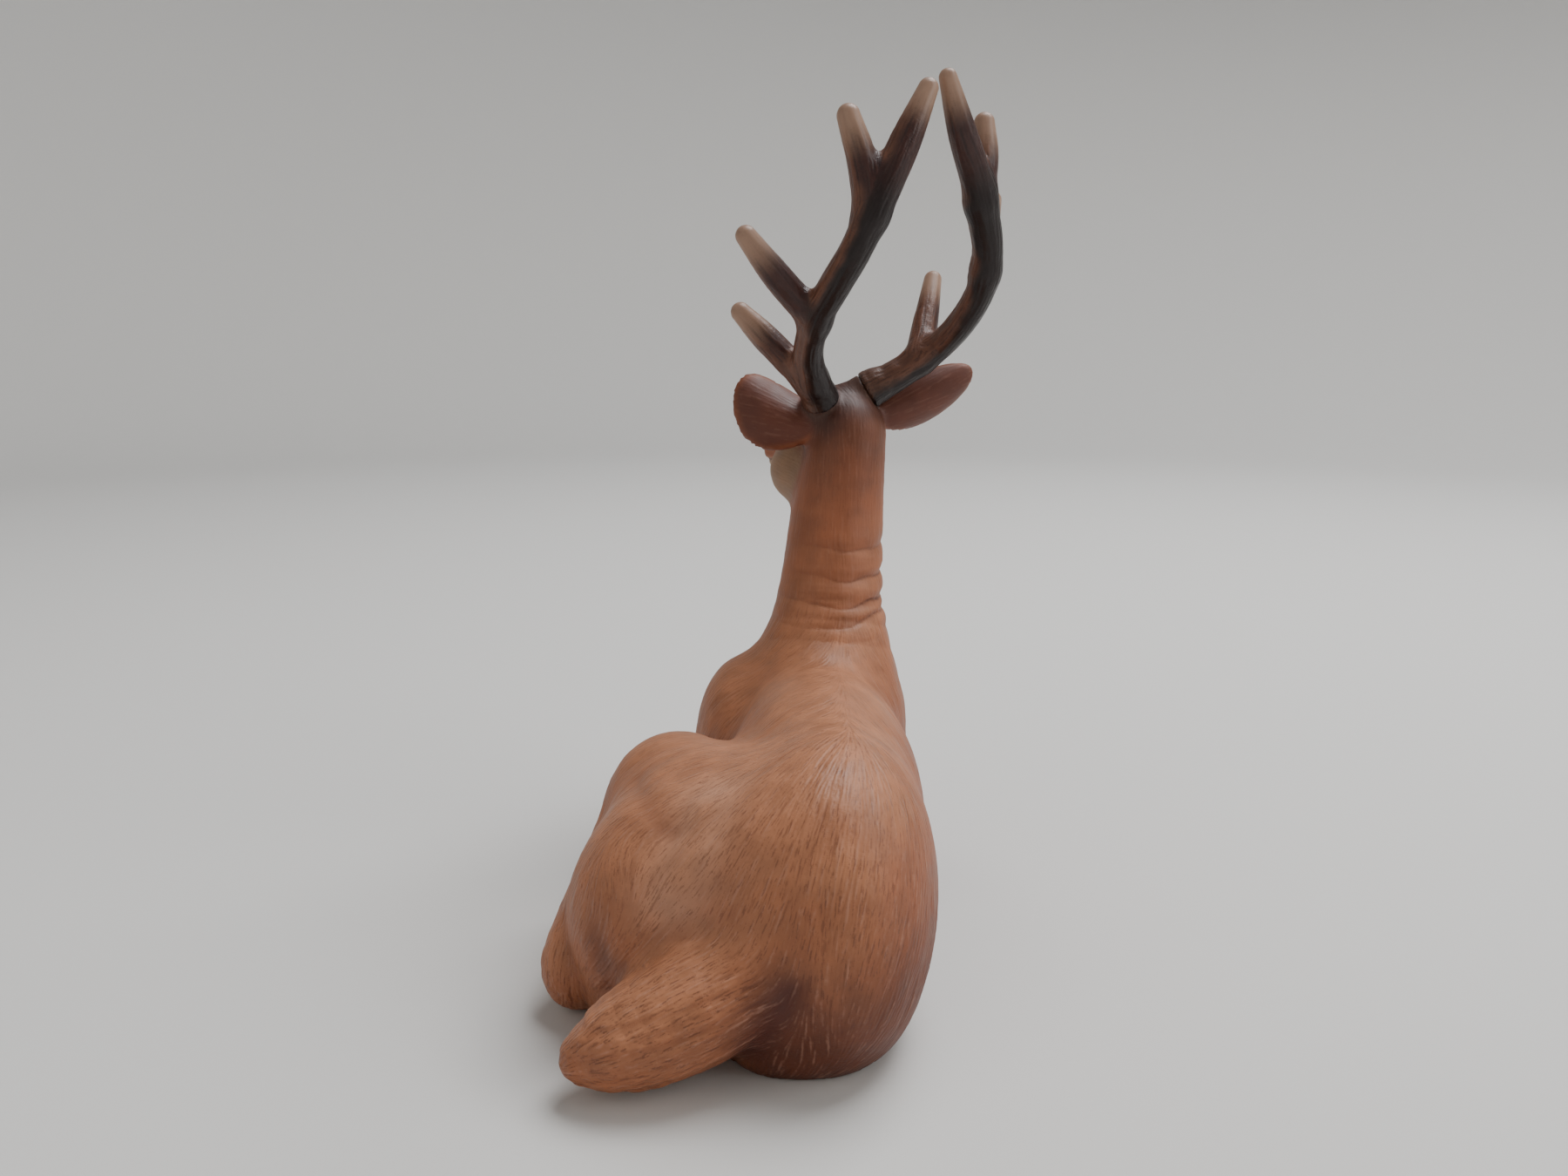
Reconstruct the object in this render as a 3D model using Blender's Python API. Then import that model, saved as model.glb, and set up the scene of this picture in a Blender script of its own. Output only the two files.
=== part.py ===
# Reclining stag statuette: a moulded body with its head, and two antlers set on the skull.
# Metres, +Z up. The stag faces -Y and lies on the plane z = 0 with its hind feet to its
# left, +X. The origin is under the middle of the whole figure.
#
# The body is a blend of rounded masses: trunk, haunches, limbs, neck, head, ears and tail.
# Their places and radii are in parts of the back's height, because a figure keeps its
# proportions, and head, ears, tail and antlers follow their own sizes as well.

import math

import bmesh
import bpy
import numpy as np
from mathutils import Matrix, Vector

# Driving dimensions, in metres
BACK_HEIGHT = 0.061
HEAD_LENGTH = 0.042
EAR_LENGTH = 0.027
TAIL_LENGTH = 0.042
ANTLER_RISE = 0.073
BEAM_RADIUS = 0.0037
BURR_RADIUS = 0.0048
BURR_GAP = 0.0003

# How fine the solids are
BODY_VOXEL = 0.0011
ANTLER_VOXEL = 0.0008
BODY_TRIANGLES = 7300
ANTLER_TRIANGLES = 1260
FIT_ROUNDS = 5
CURVE_STEPS = 4

# The head is turned to the stag's left and a little down, in degrees
HEAD_TURN = 35.0
HEAD_DROP = 6.0

# One part of the body's height, and of each size that is set by itself
PART = BACK_HEIGHT / 61.0
HEAD_PART = HEAD_LENGTH / 42.0
EAR_PART = EAR_LENGTH / 27.0
TAIL_PART = TAIL_LENGTH / 42.0
ANTLER_PART = ANTLER_RISE / 73.0

# Where the neck hands over to the head, and the tail leaves the rump, in parts of the
# body, and the tail's end in parts of the tail from there
SKULL = (-1.0, -57.0, 116.5)
TAIL_ROOT = (15.0, 59.5, 22.0)
TAIL_TIP = (35.6, 10.8, -13.4)


# Shapes

def body_point(x, y, z):
    """A place given in parts of the body."""
    return np.array((x, y, z), dtype=float) * PART


def head_axes():
    """The head's own directions: forwards, to its left, and upwards."""
    turn = math.radians(HEAD_TURN)
    drop = math.radians(HEAD_DROP)
    level = np.array((math.sin(turn), -math.cos(turn), 0.0))
    left = np.array((math.cos(turn), math.sin(turn), 0.0))
    forward = level * math.cos(drop) - np.array((0.0, 0.0, math.sin(drop)))
    return forward, left, np.cross(forward, left)


def head_point(forward, left, up):
    """A place on the head, in parts of its length from the middle of the skull."""
    ahead, aside, above = head_axes()
    offset = ahead * forward + aside * left + above * up
    return body_point(*SKULL) + offset * HEAD_PART


def tail_point(x, y, z):
    """A place on the tail, in parts of its length from its root."""
    return body_point(*TAIL_ROOT) + np.array((x, y, z), dtype=float) * TAIL_PART


class Ball:
    """An ellipsoid: a centre, three radii, and the directions that they lie along."""

    def __init__(self, centre, radii, blend, axes=None):
        self.centre = np.asarray(centre)
        self.radii = np.asarray(radii, dtype=float)
        self.blend = blend
        self.axes = np.eye(3) if axes is None else np.asarray(axes)

    def distance(self, points):
        """About how far each point is outside the surface."""
        local = (points - self.centre) @ self.axes.T
        near = np.linalg.norm(local / self.radii, axis=1)
        slope = np.linalg.norm(local / self.radii ** 2, axis=1)
        return near * (near - 1.0) / np.maximum(slope, 1e-9)

    def add_to(self, mesh):
        """Add a round mesh of this shape."""
        frame = np.eye(4)
        frame[:3, :3] = self.axes.T * self.radii
        frame[:3, 3] = self.centre
        bmesh.ops.create_icosphere(mesh, subdivisions=3, radius=1.0, matrix=Matrix(frame))


class Leaf:
    """A flat leaf: an ellipsoid whose middle line bows and whose edges are cupped.

    Its taper makes it narrower towards the tip, or wider where it is below nought.
    """

    def __init__(self, middle, axes, radii, blend, taper, bow, cup):
        self.middle = middle
        self.axes = axes
        self.radii = np.asarray(radii, dtype=float)
        self.blend = blend
        self.taper = taper
        self.bow = bow
        self.cup = cup

    def distance(self, points):
        """About how far each point is outside the surface."""
        local = (points - self.middle) @ self.axes.T
        run = np.clip(local[:, 0] / self.radii[0], -1.0, 1.0)
        local[:, 1] = (local[:, 1] + self.bow * (1.0 - run * run)) / (1.0 - self.taper * run)
        local[:, 2] -= self.cup * (local[:, 1] / self.radii[1]) ** 2
        near = np.linalg.norm(local / self.radii, axis=1)
        slope = np.linalg.norm(local / self.radii ** 2, axis=1)
        return near * (near - 1.0) / np.maximum(slope, 1e-9)

    def add_to(self, mesh):
        """Add a round mesh, bent and cupped to this shape."""
        corners = bmesh.ops.create_icosphere(mesh, subdivisions=4, radius=1.0)["verts"]
        run, side, rise = np.array([corner.co for corner in corners]).T
        side = side * np.linalg.det(self.axes)
        across = side * self.radii[1] * (1.0 - self.taper * run) - self.bow * (1.0 - run * run)
        through = rise * self.radii[2] + self.cup * side * side
        places = np.column_stack((run * self.radii[0], across, through))
        for corner, place in zip(corners, places @ self.axes + self.middle):
            corner.co = place


class Limb:
    """A smooth curve through a few points, with a radius at each of them."""

    def __init__(self, points, radii, blend):
        rows = np.column_stack((np.array(points, dtype=float), radii))
        self.rows = rows if len(rows) == 2 else smooth_curve(rows)
        self.blend = blend

    def distance(self, points):
        """How far each point is outside the surface."""
        result = np.full(len(points), np.inf)
        for start, end in zip(self.rows[:-1], self.rows[1:]):
            along = end[:3] - start[:3]
            local = points - start[:3]
            share = np.clip(local @ along / (along @ along), 0.0, 1.0)
            away = np.sqrt(((local - share[:, None] * along) ** 2).sum(axis=1))
            result = np.minimum(result, away - start[3] - share * (end[3] - start[3]))
        return result

    def add_to(self, mesh):
        """Add a closed cone for each step, with a ball at each of its ends."""
        for start, end in zip(self.rows[:-1], self.rows[1:]):
            along = Vector(end[:3] - start[:3])
            turn = along.to_track_quat("Z", "Y").to_matrix().to_4x4()
            middle = Matrix.Translation(Vector((start[:3] + end[:3]) * 0.5)) @ turn
            bmesh.ops.create_cone(mesh, cap_ends=True, segments=16, radius1=start[3],
                                  radius2=end[3], depth=along.length, matrix=middle)
        for row in self.rows:
            place = Matrix.Translation(Vector(row[:3]))
            bmesh.ops.create_icosphere(mesh, subdivisions=2, radius=row[3], matrix=place)


class Stub:
    """A plain round post with flat ends."""

    def __init__(self, foot, along, length, radius, blend):
        self.foot = foot
        self.along = along
        self.length = length
        self.radius = radius
        self.blend = blend

    def distance(self, points):
        """About how far each point is outside the surface."""
        local = points - self.foot
        run = local @ self.along
        away = np.sqrt(np.maximum((local ** 2).sum(axis=1) - run * run, 0.0))
        return np.maximum(away - self.radius, np.maximum(run - self.length, -run))

    def add_to(self, mesh):
        """Add a closed cylinder."""
        turn = Vector(self.along).to_track_quat("Z", "Y").to_matrix().to_4x4()
        middle = Vector(self.foot + self.along * self.length * 0.5)
        bmesh.ops.create_cone(mesh, cap_ends=True, segments=24, radius1=self.radius,
                              radius2=self.radius, depth=self.length,
                              matrix=Matrix.Translation(middle) @ turn)


def smooth_curve(rows):
    """Rows along a Catmull-Rom curve through the given rows."""
    padded = np.vstack((2.0 * rows[0] - rows[1], rows, 2.0 * rows[-1] - rows[-2]))
    result = []
    for before, start, end, after in zip(padded, padded[1:], padded[2:], padded[3:]):
        for share in np.arange(CURVE_STEPS) / CURVE_STEPS:
            bend = (2.0 * before - 5.0 * start + 4.0 * end - after) * share
            twist = (3.0 * (start - end) + after - before) * share * share
            result.append(start + 0.5 * share * (end - before + bend + twist))
    return np.array([*result, rows[-1]])


def body_ball(centre, radii, blend):
    """An ellipsoid of the body along X, Y and Z, in parts."""
    return Ball(body_point(*centre), np.array(radii) * PART, blend * PART)


def body_limb(rows, blend):
    """A limb of the body: rows of x, y, z and radius, in parts."""
    points = [body_point(*row[:3]) for row in rows]
    return Limb(points, [row[3] * PART for row in rows], blend * PART)


def head_ball(centre, radii, blend):
    """An ellipsoid of the head along its own directions, in parts."""
    return Ball(head_point(*centre), np.array(radii) * HEAD_PART, blend * HEAD_PART, head_axes())


def head_limb(rows, blend):
    """A limb of the head: rows of forward, left, up and radius, in parts."""
    points = [head_point(*row[:3]) for row in rows]
    return Limb(points, [row[3] * HEAD_PART for row in rows], blend * HEAD_PART)


# The stag's masses

def trunk():
    """Barrel, brisket, shoulders and croup."""
    return [
        body_ball((5, 0, 29.5), (24, 54, 31), 0),
        body_ball((8.5, -40, 30), (23, 32, 31), 9),
        body_ball((25, -36, 32), (12.5, 21, 24), 6),
        body_ball((-6, -38, 32), (11.5, 22, 24), 6),
        body_ball((3.6, 40, 33), (20.6, 31, 27.8), 8),
    ]


def haunches():
    """The right haunch beneath, and the left thigh that lies over to the stag's left."""
    return [
        body_ball((3, 42, 21), (19, 32, 27), 6),
        body_ball((13, 51, 9), (16, 17, 15), 6),
        body_limb([(14, 45, 33, 22), (38, 10, 34.2, 16.6)], 7),
        body_ball((35.5, 36, 21), (24, 25, 26), 10),
        body_ball((33, 16, 14), (19, 22, 20), 5),
    ]


def neck():
    """The neck, deeper than it is wide, with the throat in front."""
    return [
        body_limb([(3.3, -38, 46, 19), (1.4, -45, 70, 14.3), (-0.3, -50, 90, 12.4),
                   (-3.1, -53, 113, 10.2)], 8),
        body_limb([(5, -52, 44, 16), (3, -59, 72, 11.5), (2, -63, 97, 9)], 7),
    ]


def hind_legs():
    """The left shank, hock, cannon and hoof, and the right foot that comes out in front."""
    return [
        body_limb([(43, 10, 31, 12.5), (56.5, 36, 12.5, 8), (57.5, 39.5, 8.6, 7)], 2.5),
        body_limb([(57.5, 38, 6.2, 6.2), (56, 14, 4.8, 4.8), (53, -7, 4.4, 4.7)], 2),
        body_limb([(53, -7, 4.4, 5), (51, -19, 3.6, 4.4)], 1),
        body_limb([(30, 10, 5.5, 6), (39, -13, 4.6, 4.7)], 2),
        body_limb([(39, -13, 4.6, 5), (41, -25, 3.6, 4.4)], 1),
    ]


def forelegs():
    """Both forelegs folded under the brisket, with the knees in front."""
    return [
        body_limb([(27, -34, 26, 12), (35, -17, 13, 9), (30, -61, 8, 6.6)], 4),
        body_limb([(29, -60, 6, 5.6), (21, -34, 4.6, 4.6), (18, -24, 3.6, 4.4)], 1.5),
        body_limb([(-6, -34, 26, 12), (-9, -18, 13, 8.5), (-5, -66, 8, 6.6)], 4),
        body_limb([(-4, -65, 6, 5.6), (3, -40, 4.6, 4.6), (6, -30, 3.6, 4.4)], 1.5),
    ]


def head():
    """Skull, face, jaw, cheeks, brows and muzzle."""
    shapes = [
        head_ball((2, 0, 0), (12, 9.6, 9.8), 5),
        head_ball((11, 0, -1.2), (11, 7.8, 7.6), 4),
        head_limb([(11, 0, -2.6, 7), (20, 0, -4.6, 5.5), (29, 0, -6.4, 4.5)], 4),
        head_limb([(3, 0, -13, 8), (11, 0, -14, 6.2), (27.5, 0, -9.8, 3.1)], 3.5),
    ]
    for side in (-1, 1):
        shapes.append(head_ball((12, side * 6, -12.6), (11, 5.6, 8.6), 3.5))
        shapes.append(head_ball((11, side * 6.6, 2), (4, 2.4, 2.6), 2))
        shapes.append(head_ball((12.6, side * 7.9, 0.6), (2.3, 1.3, 2.0), 0.5))
    return shapes


def undercuts():
    """The plain filling of a moulded figure under its belly and between its legs."""
    return [
        body_ball((9, -44, 7), (18, 22, 13), 4),
        body_ball((36, -2, 6), (19, 24, 11), 4),
        body_ball((40, 30, 6), (17, 26, 12), 4),
        body_ball((38, 50, 5), (12, 12, 12), 3),
    ]


def tail():
    """The broad short tail, laid to the stag's left on the table, and its thick root."""
    root = [(-2, -9, 9, 9), (1, 0.5, 1, 10.4)]
    lobe = [(0, 0, 0, 9), (14.6, 5.4, -5.8, 11.2), (27, 9, -10.6, 9.6), (*TAIL_TIP, 5.2)]
    shapes = []
    for rows, blend in ((root, 8), (lobe, 5)):
        points = [tail_point(*row[:3]) for row in rows]
        shapes.append(Limb(points, [row[3] * TAIL_PART for row in rows], blend * TAIL_PART))
    return shapes


# Ears: the root and the tip, in parts from the skull, the half width, how much narrower the
# tip is, and how far the middle line bows down
EARS = {
    "left": {"root": (4.0, 7.0, -0.4), "tip": (27.4, 4.0, 10.4), "width": 9.2,
             "taper": -0.14, "bow": 3.4},
    "right": {"root": (-9.0, -2.0, 0.6), "tip": (-37.0, -9.0, 13.6), "width": 6.9,
              "taper": 0.10, "bow": 1.4},
}
EAR_THICKNESS = 2.5
EAR_CUP = 3.0
EAR_HOLLOW = 1.9


def ear_frame(ear):
    """Middle, directions and half length of one ear: along, across and to the front."""
    root = body_point(*SKULL) + np.array(ear["root"]) * HEAD_PART
    reach = (np.array(ear["tip"]) - np.array(ear["root"])) * EAR_PART
    length = np.linalg.norm(reach)
    along = reach / length
    front = head_axes()[0] - (head_axes()[0] @ along) * along
    front /= np.linalg.norm(front)
    across = np.cross(front, along)
    across *= np.sign(across[2])
    return root + reach * 0.5, np.array((along, across, front)), length * 0.5


def ear_leaf(ear, share, forward, thickness, blend):
    """A leaf of an ear's outline, at a share of its size and moved forward, in parts."""
    middle, axes, half = ear_frame(ear)
    centre = middle + axes[2] * forward * EAR_PART
    radii = (half * share, ear["width"] * share * EAR_PART, thickness * EAR_PART)
    bow = ear["bow"] * share * EAR_PART
    return Leaf(centre, axes, radii, blend * EAR_PART, ear["taper"], bow, EAR_CUP * EAR_PART)


def ears():
    """Both ears as cupped leaves."""
    return [ear_leaf(ear, 1.0, 0.0, EAR_THICKNESS, 3.0) for ear in EARS.values()]


def ear_cups():
    """The hollows in the fronts of the ears."""
    return [ear_leaf(ear, 0.84, EAR_THICKNESS, EAR_HOLLOW, 1.0) for ear in EARS.values()]


# Antlers: each side's beam and tines in parts from the burr: forwards and outwards of the
# head, straight up, and the radius as a share of the beam's
ANTLERS = {
    "left": {
        "burr": (4.5, -49.0, 123.2),
        "beam": [(-0.6, -2.0, -4.6, 1.25), (-3.6, 4.0, 3.6, 1.16), (-8.7, 10.2, 11.2, 1.03),
                 (-15.8, 13.2, 19.6, 1.0), (-23, 13.2, 27.5, 1.05), (-29.6, 12.4, 35.1, 1.05),
                 (-33.5, 10.4, 43.4, 1.08), (-35.4, 7.4, 51, 1.06), (-36.6, 3.2, 60, 0.98),
                 (-37.8, -1.9, 71, 0.64)],
        "outer tine": [(-33.0, 10.4, 43, 1.0), (-32.2, 12.2, 54, 0.98), (-30.0, 14.8, 64.6, 0.74)],
        "middle tine": [(-15.4, 13, 20, 1.0), (-13.6, 23.2, 30.2, 0.96), (-12.4, 31.0, 39.0, 0.68)],
        "brow tine": [(-3, 6, 4.5, 1.0), (1.5, 15.7, 15.2, 0.96), (4.1, 21.9, 21.9, 0.68)],
    },
    "right": {
        "burr": (-8.0, -56.0, 125.0),
        "beam": [(2.4, -3.4, -3, 1.25), (-4.4, 6.2, 3.6, 1.16), (-10.3, 14.2, 10.2, 1.03),
                 (-19.6, 15.7, 17.7, 1.0), (-26, 16.2, 26.3, 1.0), (-29.6, 14.4, 34.6, 1.03),
                 (-31.8, 10.5, 42.6, 1.08), (-33.6, 5.9, 51, 1.04), (-35.2, -0.6, 61, 0.92),
                 (-36.7, -6.8, 72, 0.58)],
        "outer tine": [(-32.4, 8.5, 46, 0.92), (-31, 11.0, 56.5, 0.9), (-29.4, 12.0, 64.8, 0.7)],
        "middle tine": [(-27.5, 15.4, 30, 0.92), (-20, 23, 41, 0.9), (-15, 29.5, 49, 0.68)],
        "brow tine": [(-8, 11.5, 8.5, 1.0), (-2.5, 18.6, 19, 0.92), (2.2, 24.8, 29.2, 0.66)],
    },
}
SIDES = {"left": 1.0, "right": -1.0}

# The stubs start this deep in the skull, are this much slimmer than the burrs, and are
# made a little too long before they are cut flat
STUB_DEPTH = 9.0
STUB_SHARE = 0.95
STUB_SPARE = 0.0006
ANTLER_CLEARANCE = 0.0008


def antler_point(side, forward, out, up):
    """A place on one antler, in parts of its rise from its burr."""
    turn = math.radians(HEAD_TURN)
    ahead = np.array((math.sin(turn), -math.cos(turn), 0.0))
    aside = np.array((math.cos(turn), math.sin(turn), 0.0)) * SIDES[side]
    offset = ahead * forward + aside * out + np.array((0.0, 0.0, up))
    burr = np.array(ANTLERS[side]["burr"]) - np.array(SKULL)
    return body_point(*SKULL) + burr * HEAD_PART + offset * ANTLER_PART


def antler(side):
    """One antler: the beam and its four points, and the thick burr at its foot."""
    shapes = []
    for name, rows in ANTLERS[side].items():
        if name == "burr":
            continue
        points = [antler_point(side, *row[:3]) for row in rows]
        radii = [row[3] * BEAM_RADIUS for row in rows]
        shapes.append(Limb(points, radii, BEAM_RADIUS * 0.8))
    middle, along = burr_frame(side)
    rim = [middle + along * BURR_RADIUS * share for share in (0.35, 0.45)]
    shapes.append(Limb(rim, (BURR_RADIUS, BURR_RADIUS * 0.96), BEAM_RADIUS * 0.5))
    return shapes


def burr_frame(side):
    """Middle of the joint under one antler, and the direction in which the antler leaves."""
    beam = ANTLERS[side]["beam"]
    foot = antler_point(side, *beam[0][:3])
    top = antler_point(side, *beam[1][:3])
    along = (top - foot) / np.linalg.norm(top - foot)
    return antler_point(side, 0.0, 0.0, 0.0), along


def pedicles():
    """The two short stubs of the skull that carry the antlers."""
    shapes = []
    for side in SIDES:
        middle, along = burr_frame(side)
        depth = STUB_DEPTH * HEAD_PART
        foot = middle - along * depth
        radius = BURR_RADIUS * STUB_SHARE
        shapes.append(Stub(foot, along, depth + 2.0 * STUB_SPARE, radius, 2.0 * HEAD_PART))
    return shapes


# The blended surface

def blended(points, shapes):
    """Distance to a union whose joins are rounded by each shape's own blend."""
    result = shapes[0].distance(points)
    for shape in shapes[1:]:
        other = shape.distance(points)
        if shape.blend > 0.0:
            share = np.maximum(shape.blend - np.abs(result - other), 0.0) / shape.blend
            result = np.minimum(result, other) - share * share * shape.blend * 0.25
        else:
            result = np.minimum(result, other)
    return result


# Carving that shows from a step away

# Height, depth and lean of each fold across the back of the neck, in parts
NECK_FOLDS = ((85.3, 0.45, 0.06), (77.8, 0.7, 0.05), (71.3, 0.85, 0.02), (66.5, 0.6, -0.08))
FOLD_WIDTH = 1.5

# The line up the middle of the neck that the folds run round: height, X and Y, in parts
NECK_LINE = ((60, 2.5, -45), (72, 1.4, -48), (92, -0.3, -53))

# The tail's locks: how wide, how slanted and how deep, and between which distances from the
# tail's root they come in and fade out, in parts
LOCK_PITCH = 4.4
LOCK_LEAN = 0.02
LOCK_DEPTH = 0.3
LOCKS_START = (8.0, 18.0)
LOCKS_END = (42.0, 48.0)


def neck_folds(points):
    """Depth of the skin folds that run round the back and the right side of the neck."""
    x, y, z = (points / PART).T
    heights, line_x, line_y = zip(*NECK_LINE)
    axis_x = np.interp(z, heights, line_x)
    axis_y = np.interp(z, heights, line_y)
    away = np.maximum(np.hypot(x - axis_x, y - axis_y), 1e-6)
    back = (y - axis_y) / away
    right = (axis_x - x) / away
    reach = np.clip(0.6 * back + 0.6 * right + 0.25, 0.0, 1.0) * (y < axis_y + 30)
    depth = np.zeros(len(points))
    for height, deep, lean in NECK_FOLDS:
        lift = z - height - lean * (x - axis_x) - 1.2 * (1.0 - back)
        depth += deep * np.exp(-(lift / FOLD_WIDTH) ** 2)
    return depth * reach * PART


def tail_locks(points):
    """Depth of the grooves between the long locks of the tail."""
    root = tail_point(0, 0, 0)
    tip = tail_point(*TAIL_TIP)
    along = (tip - root) / np.linalg.norm(tip - root)
    across = np.cross(along, (0.0, -1.0, 0.0))
    across /= np.linalg.norm(across)
    local = (points - root) / TAIL_PART
    run = local @ along
    swing = local @ across
    wave = np.cos(2.0 * math.pi * (swing / LOCK_PITCH + LOCK_LEAN * (run - LOCKS_START[1])))
    inside = np.interp(run, (*LOCKS_START, *LOCKS_END), (0.0, 1.0, 1.0, 0.0))
    near = np.clip(1.0 - tail()[1].distance(points) / (2.0 * TAIL_PART), 0.0, 1.0)
    return LOCK_DEPTH * TAIL_PART * np.clip(wave, 0.0, 1.0) * inside * near


def antler_room(points):
    """How far each point is inside the space that is kept free round the antlers."""
    room = np.full(len(points), -np.inf)
    for side in SIDES:
        middle, along = burr_frame(side)
        above = (points - middle) @ along - STUB_SPARE
        near = ANTLER_CLEARANCE - blended(points, antler(side))
        room = np.maximum(room, np.minimum(above, near))
    return room


def body_shapes():
    """Every mass of the body, in the order in which they are blended."""
    return [*trunk(), *haunches(), *neck(), *undercuts(), *hind_legs(), *forelegs(), *head(),
            *pedicles(), *ears(), *tail()]


def body_field(points):
    """Distance to the body's surface, with its carving."""
    result = blended(points, body_shapes())
    for cup in ear_cups():
        other = -cup.distance(points)
        share = np.maximum(cup.blend - np.abs(result - other), 0.0) / cup.blend
        result = np.maximum(result, other) + share * share * cup.blend * 0.25
    result = result + neck_folds(points) + tail_locks(points)
    return np.maximum(result, antler_room(points))


# Meshes

def evaluated_mesh(thing):
    """A copy of an object's mesh with its modifiers applied."""
    graph = bpy.context.evaluated_depsgraph_get()
    return bpy.data.meshes.new_from_object(thing.evaluated_get(graph))


def place(name, mesh):
    """Put a mesh into the scene as an object."""
    thing = bpy.data.objects.new(name, mesh)
    bpy.context.scene.collection.objects.link(thing)
    return thing


def rough_union(shapes, voxel):
    """One closed skin round all the shapes, as even small squares."""
    build = bmesh.new()
    for shape in shapes:
        shape.add_to(build)
    mesh = bpy.data.meshes.new("rough")
    build.to_mesh(mesh)
    build.free()
    rough = place("rough", mesh)
    skin = rough.modifiers.new("skin", "REMESH")
    skin.mode = "VOXEL"
    skin.voxel_size = voxel
    result = evaluated_mesh(rough)
    bpy.data.objects.remove(rough)
    return result


def neighbour_mean(mesh, places):
    """The mean place of each corner's neighbours."""
    count = len(mesh.edges)
    pairs = np.empty(count * 2, dtype=np.int64)
    mesh.edges.foreach_get("vertices", pairs)
    first, last = pairs.reshape(-1, 2).T
    total = np.zeros_like(places)
    number = np.zeros(len(places))
    for here, there in ((first, last), (last, first)):
        for axis in range(3):
            total[:, axis] += np.bincount(here, places[there, axis], len(places))
        number += np.bincount(here, minlength=len(places))
    return total / number[:, None]


def fitted(mesh, field, voxel):
    """Move every corner of a skin onto the surface where the field is nought."""
    places = np.empty(len(mesh.vertices) * 3)
    mesh.vertices.foreach_get("co", places)
    places = places.reshape(-1, 3)
    step = voxel * 0.2
    for turn in range(FIT_ROUNDS):
        value = field(places)
        slope = np.stack([field(places + offset) - value for offset in np.eye(3) * step], axis=1)
        slope /= step
        size = np.maximum((slope ** 2).sum(axis=1), 0.2)
        move = -value[:, None] * slope / size[:, None]
        places = places + np.clip(move, -2.0 * voxel, 2.0 * voxel)
        if turn < FIT_ROUNDS - 1:
            places += 0.5 * (neighbour_mean(mesh, places) - places)
    mesh.vertices.foreach_set("co", places.ravel())
    mesh.update()
    return mesh


def painted(name, colour, roughness):
    """A plain painted plastic."""
    material = bpy.data.materials.new(name)
    material.use_nodes = True
    shader = material.node_tree.nodes["Principled BSDF"]
    shader.inputs["Base Color"].default_value = (*colour, 1.0)
    shader.inputs["Roughness"].default_value = roughness
    shader.inputs["Metallic"].default_value = 0.0
    return material


def thinned(thing, triangles):
    """Reduce an object's mesh to a number of triangles, keeping its form."""
    thing.data.calc_loop_triangles()
    thinner = thing.modifiers.new("thinned", "DECIMATE")
    thinner.ratio = min(1.0, triangles / len(thing.data.loop_triangles))
    thinner.use_collapse_triangulate = True


def cut_by(thing, cutter):
    """Take a cutter's volume off an object."""
    cutter.hide_render = True
    cutter.display_type = "WIRE"
    cut = thing.modifiers.new(cutter.name, "BOOLEAN")
    cut.operation = "DIFFERENCE"
    cut.solver = "EXACT"
    cut.object = cutter


def disc_cutter(name, middle, along, radius, length):
    """A short cylinder that stands on a plane through a point."""
    build = bmesh.new()
    turn = Vector(along).to_track_quat("Z", "Y").to_matrix().to_4x4()
    centre = Vector(middle) + Vector(along) * length * 0.5
    bmesh.ops.create_cone(build, cap_ends=True, segments=24, radius1=radius, radius2=radius,
                          depth=length, matrix=Matrix.Translation(centre) @ turn)
    mesh = bpy.data.meshes.new(name)
    build.to_mesh(mesh)
    build.free()
    return place(name, mesh)


def table_cutter(shapes_box):
    """A slab under the plane that the stag lies on."""
    low, high = shapes_box
    depth = BACK_HEIGHT
    build = bmesh.new()
    size = Matrix.Diagonal((*((high - low)[:2] * 1.5), depth, 1.0))
    middle = (low + high) * 0.5
    centre = Matrix.Translation((middle[0], middle[1], -depth * 0.5))
    bmesh.ops.create_cube(build, size=1.0, matrix=centre @ size)
    mesh = bpy.data.meshes.new("table plane")
    build.to_mesh(mesh)
    build.free()
    return place("table_plane", mesh)


def mesh_box(things):
    """Lowest and highest corner of the objects as they show."""
    corners = []
    for thing in things:
        mesh = evaluated_mesh(thing)
        places = np.empty(len(mesh.vertices) * 3)
        mesh.vertices.foreach_get("co", places)
        corners.append(places.reshape(-1, 3))
        bpy.data.meshes.remove(mesh)
    corners = np.concatenate(corners)
    return corners.min(axis=0), corners.max(axis=0)


def make_body():
    """The stag's body, cut flat underneath and on the two stubs of the skull."""
    mesh = fitted(rough_union(body_shapes(), BODY_VOXEL), body_field, BODY_VOXEL)
    body = place("deer_body", mesh)
    thinned(body, BODY_TRIANGLES)
    cut_by(body, table_cutter(mesh_box([body])))
    for side in SIDES:
        middle, along = burr_frame(side)
        radius = BURR_RADIUS * 1.25
        cut_by(body, disc_cutter("stub_plane_" + side, middle, along, radius, radius))
    mesh.shade_smooth()
    mesh.materials.append(painted("painted plastic", (0.36, 0.16, 0.08), 0.6))
    return body


def make_antler(side):
    """One antler, cut flat where it sits on its stub, with the burr as a rounded rim."""
    middle, along = burr_frame(side)
    shapes = antler(side)

    def field(points):
        return blended(points, shapes)

    mesh = fitted(rough_union(shapes, ANTLER_VOXEL), field, ANTLER_VOXEL)
    thing = place("antler_" + side, mesh)
    thinned(thing, ANTLER_TRIANGLES)
    top = middle + along * BURR_GAP
    radius = BURR_RADIUS * 2.5
    cut_by(thing, disc_cutter("antler_foot_" + side, top, -along, radius, radius))
    mesh.shade_smooth()
    mesh.materials.append(painted("antler plastic " + side, (0.10, 0.05, 0.04), 0.35))
    return thing


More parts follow.
